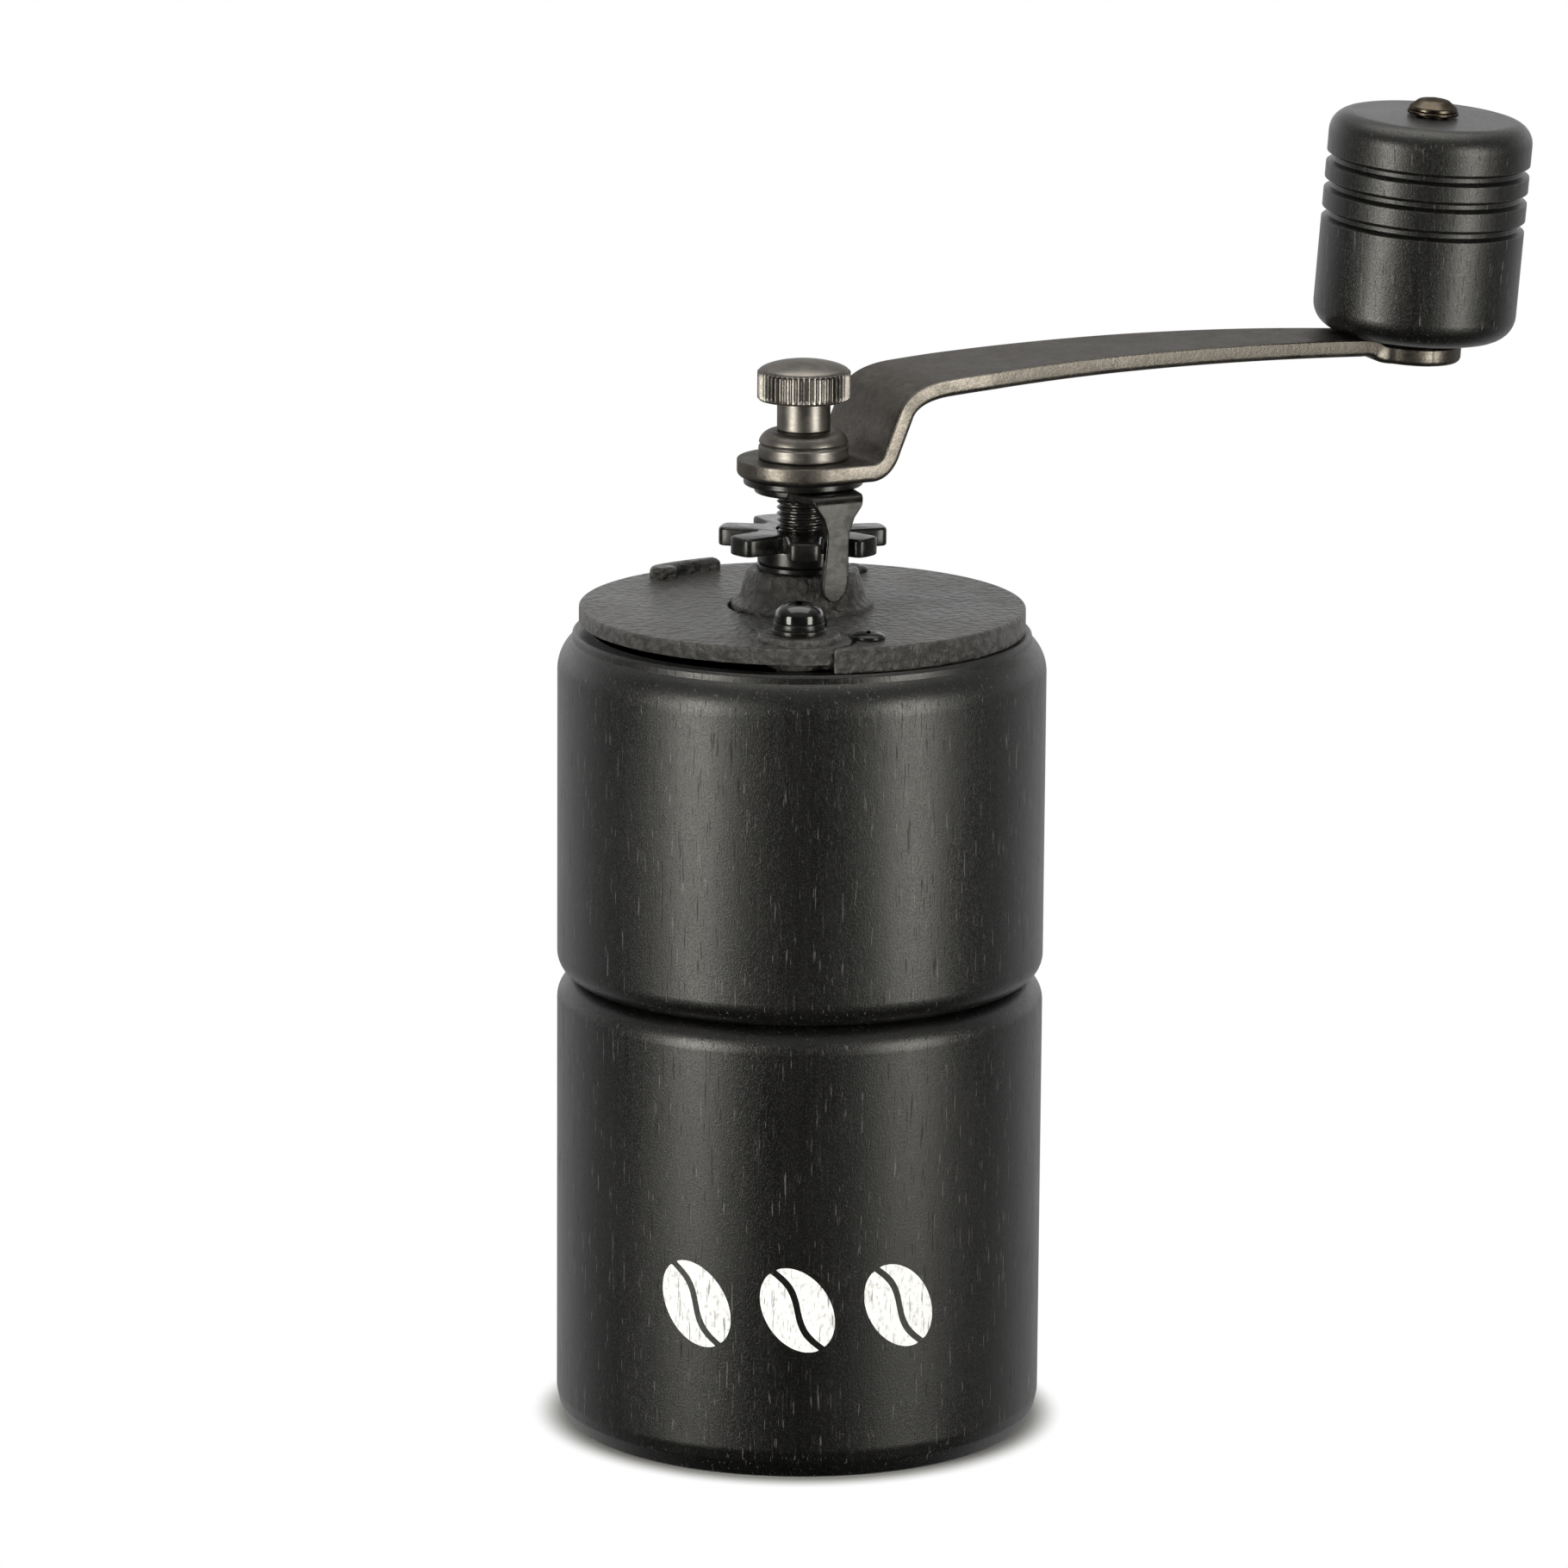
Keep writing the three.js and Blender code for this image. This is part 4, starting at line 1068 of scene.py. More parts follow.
pad_top = span("lid_washer")[0][2] - 0.05
lid = slab("swinging_lid", lid_outline(), lid_low, plate_top, 0.3, 0.45)
cut(lid, passing_neck(6), passing_neck(12))
pad = rounded([
    (0, lid_low, 0), (PAD_RADIUS, lid_low, 0.2), (PAD_RADIUS, plate_top + 0.4, 0),
    (PAD_RADIUS - 0.3, pad_top, 0.35), (0, pad_top, 0)], steps=5)
nub_angle = math.radians(NUB_AT)
nub_place = (PLATE_RADIUS - NUB_INSET) * np.array((math.cos(nub_angle), math.sin(nub_angle)))
nub = rounded([
    (0, lid_low + 1, 0), (NUB_RADIUS, lid_low + 1, 0),
    (NUB_RADIUS, plate_top + RIDGE_HEIGHT, 0.9), (0, plate_top + RIDGE_HEIGHT - 0.01, 0),
], steps=6)
weld(lid, turned("pad", pad, 128, PIVOT), finger_ridge(), turned("nub", nub, 64, nub_place))
cut(lid, rod("bore", LID_BORE, lid_low - 2, pad_top + 2, PIVOT, 48))
dress(lid, "hopper_lid", iron)

# %% [markdown]
# ## Screws and washers
# A screw is a lathe profile too: a point, a shank and a head with a shallow drive recess in the
# middle. One function makes them all from the head's and shank's sizes. The lid's screw holds a
# flat washer and a split spring washer under its head, so the lid turns stiffly.

# %% Pan head screws
def screw(name, node, finish, shank, head, seat, crown, recess=0.9, columns=72):
    """A domed head on a plain shank: seat is the level under the head, crown the head's height.
    The head is a short cylinder below a quarter ellipse. A cross-shaped recess is cut into it."""
    low, high = span(node)
    place = middle(node)
    side = 0.28 * crown
    a = np.radians(np.linspace(0, 90, 20))
    dome = np.column_stack((head * np.cos(a), seat + side + (crown - side) * np.sin(a)))
    dome[-1, 0] = 0
    profile = np.vstack((rounded([
        (0, low[2], 0), (shank - 0.4, low[2], 0.2), (shank, low[2] + 0.8, 0.2), (shank, seat, 0),
        (head, seat, 0.12), (head, seat + side, 0),
    ], steps=6)[:-1], dome))
    piece = turned(name, profile, columns, place)
    arm, wide = 0.44 * head, 0.12 * head
    top = high[2] + 1
    for x, y in ((arm, wide), (wide, arm)):
        bar = np.array([(-x, -y), (x, -y), (x, y), (-x, y)]) + place
        cut(piece, slab("drive", bar, seat + crown - recess, top, 0.05, 0.05, 1))
    return dress(piece, node, finish)


lid_screw_seat = span("lid_spring_washer")[1][2] + 0.05
lid_crown = span("lid_screw")[1][2] - lid_screw_seat
screw("lid_pivot_screw", "lid_screw", black_gloss, shank=2.0, head=3.9,
      seat=lid_screw_seat, crown=lid_crown, recess=1.5, columns=96)
for i in (1, 2):
    seat = plate_top + 0.05
    screw(f"plate_screw_{i}_head", f"plate_screw_{i}", black_steel, shank=1.7,
          head=2.7, seat=seat, crown=span(f"plate_screw_{i}")[1][2] - seat)

# %% Washers under the lid's screw
FLAT_WASHER = 4.3
SPLIT_WASHER = 4.1
SPLIT_HALF = 0.35
flat_low, flat_high = (c[2] for c in span("lid_washer"))
flat = washer("lid_flat_washer", LID_BORE, FLAT_WASHER, flat_low, flat_high, 0.15, PIVOT)
dress(flat, "lid_washer", black_steel)


def split_ring(inner, outer, gap):
    """A ring's outline with a gap at +X: out along the rim, back along the bore."""
    near, far = (math.degrees(math.asin(gap / r)) for r in (outer, inner))
    return PIVOT + np.vstack((arc((0, 0), outer, near, 360 - near, 90),
                              arc((0, 0), inner, 360 - far, far, 90)))


spring_low, spring_high = (c[2] for c in span("lid_spring_washer"))
split = slab("lid_split_washer", split_ring(LID_BORE, SPLIT_WASHER, SPLIT_HALF), spring_low,
             spring_high, 0.12, 0.15)
dress(split, "lid_spring_washer", black_steel)

# %% [markdown]
# ## The shaft
# The shaft is a bar that changes as it rises: plain below, full size through the neck, threaded
# where the star rides, flatted where the clip and crank are keyed on, and a thinner thread for
# the nut on top. One radius function of angle and height draws all of it: a thread is a clipped
# triangle wave that climbs one pitch per turn, and a flat is the smaller of the bar's radius and
# half-width / |sin t|.

# %% Turn the shaft
crank_joint = next(j for j in behaviour["joints"] if j["name"] == "knob_spin")
EYE_PLACE = np.array(crank_joint["pos_m"]) / MM
CRANK_ANGLE = math.atan2(EYE_PLACE[1], EYE_PLACE[0])
CRANK_LENGTH = float(np.hypot(EYE_PLACE[0], EYE_PLACE[1]))
shaft_low, shaft_top = (c[2] for c in span("shaft"))
star_low, star_top = (c[2] for c in span("adjusting_star"))
clip_top = span("lock_clip")[1][2]
CLIP_HEIGHT = 1.4
clip_low = clip_top - CLIP_HEIGHT
arm_low = span("crank_arm")[0][2]
ARM_THICK = 2.9
arm_top = arm_low + ARM_THICK
SHAFT_RADIUS = 4.3
KEY_RADIUS = 4.0
LOWER_RADIUS = 3.9
FULL_SIZE_FROM = 15.5
KEY_HALF = 3.1
TIP_RADIUS = 3.0
STAR_PITCH = 1.0
STAR_THREAD = 0.52
NUT_PITCH = 1.25
NUT_THREAD = 0.5


def thread(t, z, pitch, depth):
    """How far a thread's groove cuts in: a triangle wave of z / pitch - t / 2 pi, eased at its
    crests and roots."""
    turn = (z / pitch - t / (2 * np.pi)) % 1
    wave = np.abs(2 * turn - 1)
    return depth * np.clip(1.35 * wave - 0.17, 0, 1)


def shaft_radius(t, z, level):
    """The shaft's radius at each stretch, level counting the stretches from below."""
    flat = KEY_HALF / np.maximum(np.abs(np.sin(t - CRANK_ANGLE)), 1e-6)
    stretches = [
        LOWER_RADIUS + 0 * t * z,
        SHAFT_RADIUS + 0 * t * z,
        SHAFT_RADIUS - thread(t, z, STAR_PITCH, STAR_THREAD),
        np.minimum(KEY_RADIUS, flat) + 0 * z,
        TIP_RADIUS - thread(t, z, NUT_PITCH, NUT_THREAD),
    ]
    return stretches[level]


def shaft_grid(columns=144):
    """Rings of the radius function over the five stretches, closed at both ends. The two outer
    ends are chamfered."""
    stops = [shaft_low, span("hopper_frame")[0][2] + FULL_SIZE_FROM, star_low - 0.5,
             clip_low - 0.05, arm_top + 0.02, shaft_top]
    density = [2, 2, 130, 2, 170]
    t = np.linspace(0, 2 * np.pi, columns, endpoint=False)[None]
    rings = [np.dstack((0 * t, 0 * t, 0 * t + stops[0]))]
    for level, count in enumerate(density):
        z = np.linspace(stops[level], stops[level + 1], count)[:, None]
        r = shaft_radius(t, z, level)
        if level == 4:
            r = np.minimum(r, 2.45 + 0.9 * (shaft_top - z))
        if level == 0:
            r = np.minimum(r, 3.2 + (z - shaft_low + 0.01) * 100)
        rings.append(np.dstack((r * np.cos(t), r * np.sin(t), z + 0 * t)))
    rings.append(np.dstack((0 * t, 0 * t, 0 * t + stops[-1])))
    return np.vstack(rings)


shaft = surface("threaded_shaft", shaft_grid())
dress(shaft, "shaft", shaft_steel)

# %% [markdown]
# ## The adjusting star
# The star sets the grind: turned by its seven arms it screws up or down the shaft. It is a flat
# casting on a round hub. Its outline is one radius function of the angle: half the arm's width
# over the sine of the angle from the arm's middle gives straight sides, never less than the hub
# and never more than the tip, and soft versions of those two limits make the fillets.

# %% Cast the star
STAR_ARMS = 7
STAR_TIP = 13.8
STAR_HALF = 2.9
STAR_HUB = 7.6
STAR_THICK = 3.0
THRUST_WASHER = 7.5
TONGUE_ANGLE = CRANK_ANGLE - math.radians(91)


def soft_limit(a, b, width, sign):
    """The larger of a and b for sign 1 and the smaller for -1, with a fillet about width wide."""
    return (a + b + sign * np.sqrt((a - b) ** 2 + width ** 2)) / 2


def star_outline(points=840):
    """Seven straight-sided arms; the gap in which the tongue lies is centred on it."""
    t = np.linspace(0, 2 * np.pi, points, endpoint=False)
    pitch = 2 * np.pi / STAR_ARMS
    off = (t - TONGUE_ANGLE) % pitch - pitch / 2
    side = STAR_HALF / np.maximum(np.abs(np.sin(off)), STAR_HALF / 40)
    r = soft_limit(side, STAR_HUB, 1.2, 1)
    r = soft_limit(r, STAR_TIP + 0.1, 2.4, -1)
    return np.column_stack((r * np.cos(t), r * np.sin(t)))


star = slab("adjusting_star_wheel", star_outline(), star_top - STAR_THICK, star_top, 0.35, 0.5)
hub = rounded([(0, star_low, 0), (STAR_HUB - 0.2, star_low, 0.4),
               (STAR_HUB - 0.2, star_top - 1.1, 0), (0, star_top - 1.1, 0)], steps=4)
weld(star, turned("hub", hub, 128))
cut(star, rod("bore", SHAFT_BORE - 0.05, star_low - 2, star_top + 2))
dress(star, "adjusting_star", black_steel)

rest_low, rest_high = (c[2] for c in span("thrust_washer"))
rest = washer("neck_thrust_washer", SHAFT_BORE, THRUST_WASHER, rest_low, rest_high, 0.2)
dress(rest, "thrust_washer", black_steel)

# %% [markdown]
# ## The lock clip
# A stamped steel clip sits on the shaft's flats and sends a tongue down between two arms of the
# star, so that the setting can't creep. It is one bent bar: the outer line runs flat, turns down
# through a quarter circle and drops to the tip, and the half width goes from the round end,
# through the shoulders, to the narrow tongue with its rounded tip.

# %% Bend the clip
TONGUE_REACH = 13.1
TONGUE_HALF = 2.15
CLIP_RADIUS = 8.0
CLIP_START = 9.0
CLIP_BEND = 1.7
CLIP_THICK = 1.3
FLARE_AT = (-8.01, -8, 0, 7, 12, 14.2, 16, 18.5)
FLARE_HALF = (0, 0, 6, 5.6, 4.7, 4.1, 2.8, 2.0)
TONGUE_LEAN = 0.9
CRANK_WASHER = 9.75
tongue_low = span("lock_clip")[0][2]


def keyed_hole(grow_by, low, high):
    """A round bar with two flats, turned to the crank, for cutting the keyed holes."""
    t = np.linspace(0, 2 * np.pi, 144, endpoint=False)
    flat = (KEY_HALF + grow_by) / np.maximum(np.abs(np.sin(t)), 1e-6)
    r = np.minimum(KEY_RADIUS + grow_by, flat)
    turn = t + CRANK_ANGLE
    outline = np.column_stack((r * np.cos(turn), r * np.sin(turn)))
    return slab("key", outline, low, high, 0.01, 0.01, 1)


def clip_line():
    """The clip's outer side: level, a quarter turn, then straight down."""
    bend = CLIP_BEND
    flat = np.array([(-CLIP_START, clip_top), (TONGUE_REACH - bend, clip_top)])
    turn = arc((TONGUE_REACH - bend, clip_top - bend), bend, 90, 0, 24)
    return np.vstack((flat, turn[1:], (TONGUE_REACH, tongue_low - 1)))


def clip_plan():
    """Rows along the clip and its half width: a round end, the shoulders, and the tongue."""
    flat_run = TONGUE_REACH - CLIP_BEND + CLIP_START + CLIP_BEND * math.pi / 2
    end = flat_run + clip_top - CLIP_BEND - tongue_low
    centre = CLIP_START
    disc = centre - CLIP_RADIUS * np.cos(np.linspace(0, np.pi / 2, 30))
    inner = np.linspace(centre, end - TONGUE_HALF, 70)[1:-1]
    tip = end - TONGUE_HALF + TONGUE_HALF * np.sin(np.linspace(0, np.pi / 2, 20))
    s = np.concatenate((disc, inner, tip))
    x = s - centre
    circle = np.sqrt(np.maximum(CLIP_RADIUS ** 2 - x ** 2, 0))
    shoulders = np.interp(x, FLARE_AT, FLARE_HALF)
    half = np.maximum(circle, shoulders + 0.25 * np.clip((x - 20) / 6, 0, 1))
    over = np.maximum(s - (end - TONGUE_HALF), 0)
    half = np.minimum(half, np.where(over > 0, np.sqrt(np.maximum(
        TONGUE_HALF ** 2 - over ** 2, 0)), 9))
    half[0] = half[-1] = 0
    return s, half


def tongue_sway(z):
    """The tongue leans sideways, more and more towards its tip."""
    share = np.clip((clip_top - 2 - z) / (clip_top - 2 - tongue_low), 0, 1)
    return -TONGUE_LEAN * share ** 1.5


clip = bent_bar("lock_clip_tongue", clip_line(), *clip_plan(), CLIP_THICK, (0.25, 0.4), across=7,
                sway=tongue_sway)
move(clip, Matrix.Rotation(TONGUE_ANGLE, 4, "Z"))
cut(clip, keyed_hole(0.1, clip_low - 2, clip_top + 2))
dress(clip, "lock_clip", clip_steel)

ring_low, ring_high = (c[2] for c in span("arm_washer"))
ring = washer("crank_washer", KEY_RADIUS + 0.2, CRANK_WASHER, ring_low, ring_high, 0.3)
dress(ring, "arm_washer", black_steel)

# %% [markdown]
# ## The crank arm
# The crank is stamped from 2.9 mm steel: a round hub, a steep ramp up as wide as the hub, a long
# slightly arched bar that tapers to less than half of that, and a round eye set a little lower
# through a joggle. Stamping rounds the lower edge and leaves the upper one sharp. Seen from the
# side it is one line of straight and curved runs, seen from above a pair of discs and a taper,
# and a bent bar joins the two views. The bar also leans by a few degrees about its own length
# towards the eye.

# %% The crank's side line
KNEE_RISE = 12.95
EYE_RISE = EYE_PLACE[2] - arm_top
EYE_DROOP = math.tan(math.radians(2.5))
EYE_TWIST = math.tan(math.radians(3.5))
HUB_RADIUS = 10.85
EYE_RADIUS = 8.4
RAMP_RUN = 14
ARCH_GAP = 11
EYE_GAP = 6.5
ROOT_AT = 29.0
ROOT_HALF = 10.7
TIP_HALF = 4.1
CRANK_EDGES = (0.22, 0.95)
LEAN_FROM = 20
PIN_BORE = 2.9


def bezier(start, control, end, steps=28):
    """A quadratic curve: (1 - u)^2 start + 2 u (1 - u) control + u^2 end."""
    u = np.linspace(0, 1, steps + 1)[1:, None]
    start, control, end = (np.array(p, float) for p in (start, control, end))
    return (1 - u) ** 2 * start + 2 * u * (1 - u) * control + u ** 2 * end


def crank_line():
    """The upper side from behind the hub to beyond the eye, as (distance, rise)."""
    ramp = span("domed_washer")[1][0] - 0.1
    knee = ramp + RAMP_RUN
    arch = CRANK_LENGTH - ARCH_GAP
    eye = CRANK_LENGTH - EYE_GAP
    arch_rise = EYE_RISE + 1.3 + ARCH_GAP * EYE_DROOP
    stops = [(ramp, 0), (ramp + 2.5, 0.2 * KNEE_RISE), (ramp + 5, 0.66 * KNEE_RISE),
             (knee, KNEE_RISE), (arch, arch_rise),
             ((arch + eye) / 2, EYE_RISE + 0.65 + 9 * EYE_DROOP),
             (eye, EYE_RISE + EYE_GAP * EYE_DROOP)]
    return np.vstack((
        np.column_stack((np.linspace(-HUB_RADIUS - 2, ramp, 30), np.zeros(30))),
        bezier(stops[0], (ramp + 1.6, 0), stops[1]),
        np.linspace(stops[1], stops[2], 8)[1:],
        bezier(stops[2], (ramp + 7, KNEE_RISE - 0.6), stops[3]),
        bezier(stops[3], ((knee + arch) / 2 - 3, KNEE_RISE + 2.9), stops[4], 60),
        bezier(stops[4], (arch + 1.6, arch_rise - 0.4), stops[5]),
        bezier(stops[5], (eye - 1.6, EYE_RISE + 7 * EYE_DROOP), stops[6]),
        np.linspace(stops[6], (CRANK_LENGTH + 12, EYE_RISE - 12 * EYE_DROOP), 24)[1:],
    ))


# %% The crank's plan, and the bar
def crank_plan(line):
    """Rows along the line and the half width at each: the larger of the hub's circle, the taper
    and the eye's circle, with a small fillet where they meet."""
    run = np.concatenate(([0], np.cumsum(np.linalg.norm(np.diff(line, axis=0), axis=1))))
    hub_at, eye_at = np.interp([0, CRANK_LENGTH], line[:, 0], run)
    hub_rows = hub_at - HUB_RADIUS * np.cos(np.linspace(0, np.pi, 100))
    eye_rows = eye_at - EYE_RADIUS * np.cos(np.linspace(0, np.pi, 90))
    bar = run[(run > hub_at + 5) & (run < eye_at - 4)]
    rows = np.unique(np.round(np.concatenate((hub_rows, bar, eye_rows)), 4))
    rows = rows[(rows >= hub_rows[0]) & (rows <= eye_rows[-1])]
    x = np.interp(rows, run, line[:, 0])
    hub_disc = np.sqrt(np.maximum(HUB_RADIUS ** 2 - (rows - hub_at) ** 2, 0))
    eye_disc = np.sqrt(np.maximum(EYE_RADIUS ** 2 - (rows - eye_at) ** 2, 0))
    taper = np.interp(x, [0, ROOT_AT, CRANK_LENGTH], [HUB_RADIUS, ROOT_HALF, TIP_HALF])
    near = np.maximum(hub_disc, taper)
    far = soft_limit(eye_disc, taper, 1.2, 1)
    half = np.where(rows < hub_at + 1, hub_disc, np.where(rows > eye_at - 1, eye_disc,
                    np.where(rows < (hub_at + eye_at) / 2, near, far)))
    half[0] = half[-1] = 0
    return rows, half


def lean(x):
    """The arm's lean, eased in from LEAN_FROM to where the arch ends."""
    u = np.clip((x - LEAN_FROM) / (CRANK_LENGTH - ARCH_GAP - LEAN_FROM), 0, 1)
    return EYE_TWIST * u * u * (3 - 2 * u)


eye_axis = np.array(crank_joint["axis"])
EYE_MATRIX = (Matrix.Translation(Vector(EYE_PLACE * MM))
              @ Vector((0, 0, 1)).rotation_difference(Vector(eye_axis)).to_matrix().to_4x4())

side_line = crank_line()
arm = bent_bar("crank_bar", side_line, *crank_plan(side_line), ARM_THICK, CRANK_EDGES,
               across=15, steps=7, twist=lean)
move(arm, Matrix.Rotation(CRANK_ANGLE, 4, "Z"))
move(arm, Matrix.Translation((0, 0, arm_top * MM)))
cut(arm, keyed_hole(0.1, arm_low - 2, arm_top + 2),
    move(rod("pin_hole", PIN_BORE, -5, 3, columns=64), EYE_MATRIX))
dress(arm, "crank_arm", black_nickel)

# %% [markdown]
# ## The domed washer and the thumb nut
# A thick domed washer and a knurled thumb nut hold the crank down. Both are turned. The nut's
# knurl is a ripple on the radius, fifty teeth round, that fades out at the head's two edges.

# %% Turn the washer and the nut
dome_low, dome_high = (c[2] for c in span("domed_washer"))
dome_radius = span("domed_washer")[1][0]
nut_low, nut_high = (c[2] for c in span("thumb_nut"))
NUT_HEAD = 7.6
COLLAR_TOP = nut_low + 4.95
HEAD_TOP = COLLAR_TOP + 4.9
COLLAR = 4.35
NUT_BORE = 3.1
CAP_BORE = 3.2
DOME_RIM = 2.2
KNURL_TEETH = 50
KNURL_DEPTH = 0.42


def dome_profile():
    """A short upright rim, a small step, and an arc over to the flat top."""
    rim = DOME_RIM
    curve = dome_high - dome_low - rim
    crown = arc((dome_radius - curve, dome_low + rim), curve, 14, 90, 14)
    return np.vstack((
        rounded([(CAP_BORE, dome_low + 1, 0), (CAP_BORE, dome_low, 0.2),
                 (dome_radius, dome_low, 0.3),
                 (dome_radius, dome_low + rim - 0.25, 0.15),
                 (dome_radius - 0.28, dome_low + rim + 0.05, 0.1), (*crown[0], 0)], steps=4),
        crown[1:],
        rounded([(*crown[-1], 0), (CAP_BORE, dome_high, 0.4), (CAP_BORE, dome_low + 1, 0)],
                steps=4)[1:-1],
    ))


def knurl(t, r, z):
    """-KNURL_DEPTH at each groove, eased to nothing at the head's edges."""
    height = np.clip((z - COLLAR_TOP) / (HEAD_TOP - COLLAR_TOP), 0, 1)
    fade = np.clip(8 * height, 0, 1) * np.clip(8 * (1 - height), 0, 1)
    teeth = np.abs((KNURL_TEETH * t / (2 * np.pi)) % 1 * 2 - 1)
    on_side = r > NUT_HEAD - 0.3
    return -KNURL_DEPTH * fade * on_side * np.clip(1.3 * teeth - 0.1, 0, 1)


def nut_profile():
    """Bore, collar, the head's upright side in rows for the knurl, and the low dome."""
    rim = NUT_HEAD - 0.35
    a = np.radians(np.linspace(0, 90, 25))[:-1]
    side = np.column_stack((np.full(14, NUT_HEAD), np.linspace(COLLAR_TOP + 0.35,
                                                              HEAD_TOP - 0.3, 14)))
    return np.vstack((
        rounded([(0, shaft_top + 0.5, 0), (NUT_BORE, shaft_top + 0.5, 0),
                 (NUT_BORE, nut_low, 0.25), (COLLAR, nut_low, 0.2), (COLLAR, COLLAR_TOP, 0.35),
                 (NUT_HEAD - 0.35, COLLAR_TOP, 0)], steps=4),
        side,
        np.column_stack((rim * np.cos(a), HEAD_TOP + (nut_high - HEAD_TOP) * np.sin(a) ** 1.4)),
        (0, nut_high),
    ))


domed = turned("domed_crank_washer", dome_profile(), 192)
dress(domed, "domed_washer", dark_nickel)
nut = turned("knurled_thumb_nut", nut_profile(), 500, wobble=knurl)
dress(nut, "thumb_nut", dark_nickel)

# %% [markdown]
# ## The knob
# The knob is a fat turned cylinder of the same stained wood with three grooves cut near its
# top. It spins on a riveted steel pin between two thin washers. All four pieces are turned
# about the pin's own axis, which leans with the crank's eye, and then moved there as one.

# %% Turn the knob
KNOB_LOW = 1.4
KNOB_HIGH = 38.4
KNOB_RADIUS = 17.1
GROOVES = (17.4, 12.5, 8.0)
LOWER_WASHER = 6.5
UPPER_WASHER = 4.3
PIN = 2.6
PIN_FOOT = 4.2
PIN_HEAD = 4.1
HEAD_SEAT = 39.35


def knob_profile():
    """A fat cylinder with rounded ends and three square-bottomed grooves."""
    corners = [(PIN_BORE, KNOB_LOW, 0.3), (KNOB_RADIUS, KNOB_LOW, 4.3)]
    for drop in GROOVES:
        level = KNOB_HIGH - drop
        corners += [(KNOB_RADIUS, level - 0.95, 0.14), (KNOB_RADIUS - 1.15, level - 0.4, 0.2),
                    (KNOB_RADIUS - 1.15, level + 0.4, 0.2), (KNOB_RADIUS, level + 0.95, 0.14)]
    corners += [(KNOB_RADIUS, KNOB_HIGH, 3.6), (PIN_BORE, KNOB_HIGH, 0.5)]
    return rounded(corners, closed=True, steps=9)


knob = move(turned("wooden_knob", knob_profile(), 224), EYE_MATRIX)
dress(knob, "knob", wood)
lower = move(washer("knob_lower_washer", PIN_BORE, LOWER_WASHER, 0.3, 1.1, 0.2), EYE_MATRIX)
dress(lower, "knob_washer_bottom", bronze_steel)
upper = move(washer("knob_upper_washer", PIN_BORE, UPPER_WASHER, 38.7, 39.3, 0.2), EYE_MATRIX)
dress(upper, "knob_washer_top", bronze_steel)
pin_profile = rounded([
    (0, -3.6, 0), (PIN_FOOT - 0.6, -3.5, 0.3), (PIN_FOOT, -3.2, 0.2), (PIN, -3.2, 0.1),
    (PIN, HEAD_SEAT, 0.1), (PIN_HEAD, HEAD_SEAT, 0.15), (PIN_HEAD - 0.1, 39.95, 0.5),
    (2.5, 41.1, 1.2), (0, 41.55, 0)], steps=6)
pin = move(turned("knob_rivet", pin_profile, 96), EYE_MATRIX)
dress(pin, "knob_pin", bronze_steel)

# %% [markdown]
# ## The hopper frame
# Under the lid a cast funnel leads the beans to the burrs. A flange screws it to the ledge in
# the wood, three arms hold the shaft's bearing, and two posts carry the top plate. The funnel
# is turned, the arms are short slabs, the posts are turned, and they are welded into one.

# %% Cast the hopper frame
frame_low = span("hopper_frame")[0][2]
burr_radius = span("ring_burr")[1][0]
BEARING_RADIUS = 6.5
BEARING_BORE = 4.1
WEB_HALF = 2
POST_RADIUS = 3.5
flange_low = LEDGE + 0.05
flange_high = flange_low + 2.5
foot = burr_radius - 6.4


def funnel_profile():
    """The foot on the ring burr, the throat, the flange on the ledge, and the mouth."""
    flange = WIDE_BORE - 0.4
    throat = NARROW_BORE - 0.4
    mouth = WIDE_BORE - 8.2
    return rounded([
        (foot, frame_low, 0.3), (burr_radius, frame_low, 0.4), (burr_radius, frame_low + 3, 0.4),
        (foot + 4.0, frame_low + 4, 1.0), (throat, LEDGE - 1, 0.5), (throat, flange_low, 0.2),
        (flange, flange_low, 0.3), (flange, flange_high, 0.4), (mouth, flange_high, 1.2),
        (mouth - 0.8, LEDGE, 1.0), (foot, frame_low + 3.3, 0.8),
    ], closed=True, steps=4)


hopper = turned("cast_hopper_frame", funnel_profile(), 160)
spider_low = frame_low + 6
bearing = rounded([(0, spider_low - 1, 0), (BEARING_RADIUS, spider_low - 1, 0.5),
                   (BEARING_RADIUS, spider_low + 7, 0.8), (0, spider_low + 7, 0)], steps=4)
weld(hopper, turned("bearing", bearing, 96))
for angle in (30, 150, 270):
    bar = np.array([(2, -WEB_HALF), (foot + 4.9, -WEB_HALF), (foot + 4.9, WEB_HALF),
                    (2, WEB_HALF)])
    web = slab("web", bar, spider_low, spider_low + 3, 0.4, 0.6)
    weld(hopper, move(web, Matrix.Rotation(math.radians(angle), 4, "Z")))
post = rounded([(0, flange_high - 1, 0), (POST_RADIUS, flange_high - 1, 0),
                (POST_RADIUS - 0.3, plate_low - 0.05, 0.3), (0, plate_low - 0.05, 0)], steps=3)
weld(hopper, *[turned("post", post, 48, middle(f"plate_screw_{i}")) for i in (1, 2)])
cut(hopper, rod("bore", BEARING_BORE, spider_low - 5, LEDGE + 5, columns=64))
cut(hopper, *[rod("bore", PLATE_SCREW_BORE, plate_low - 11, plate_top,
                  middle(f"plate_screw_{i}"), 32) for i in (1, 2)])
cut(hopper, *[rod("bore", FLANGE_SCREW_BORE, LEDGE - 2, flange_high + 1, place, 32)
              for place in screw_ring])
dress(hopper, "hopper_frame", iron)

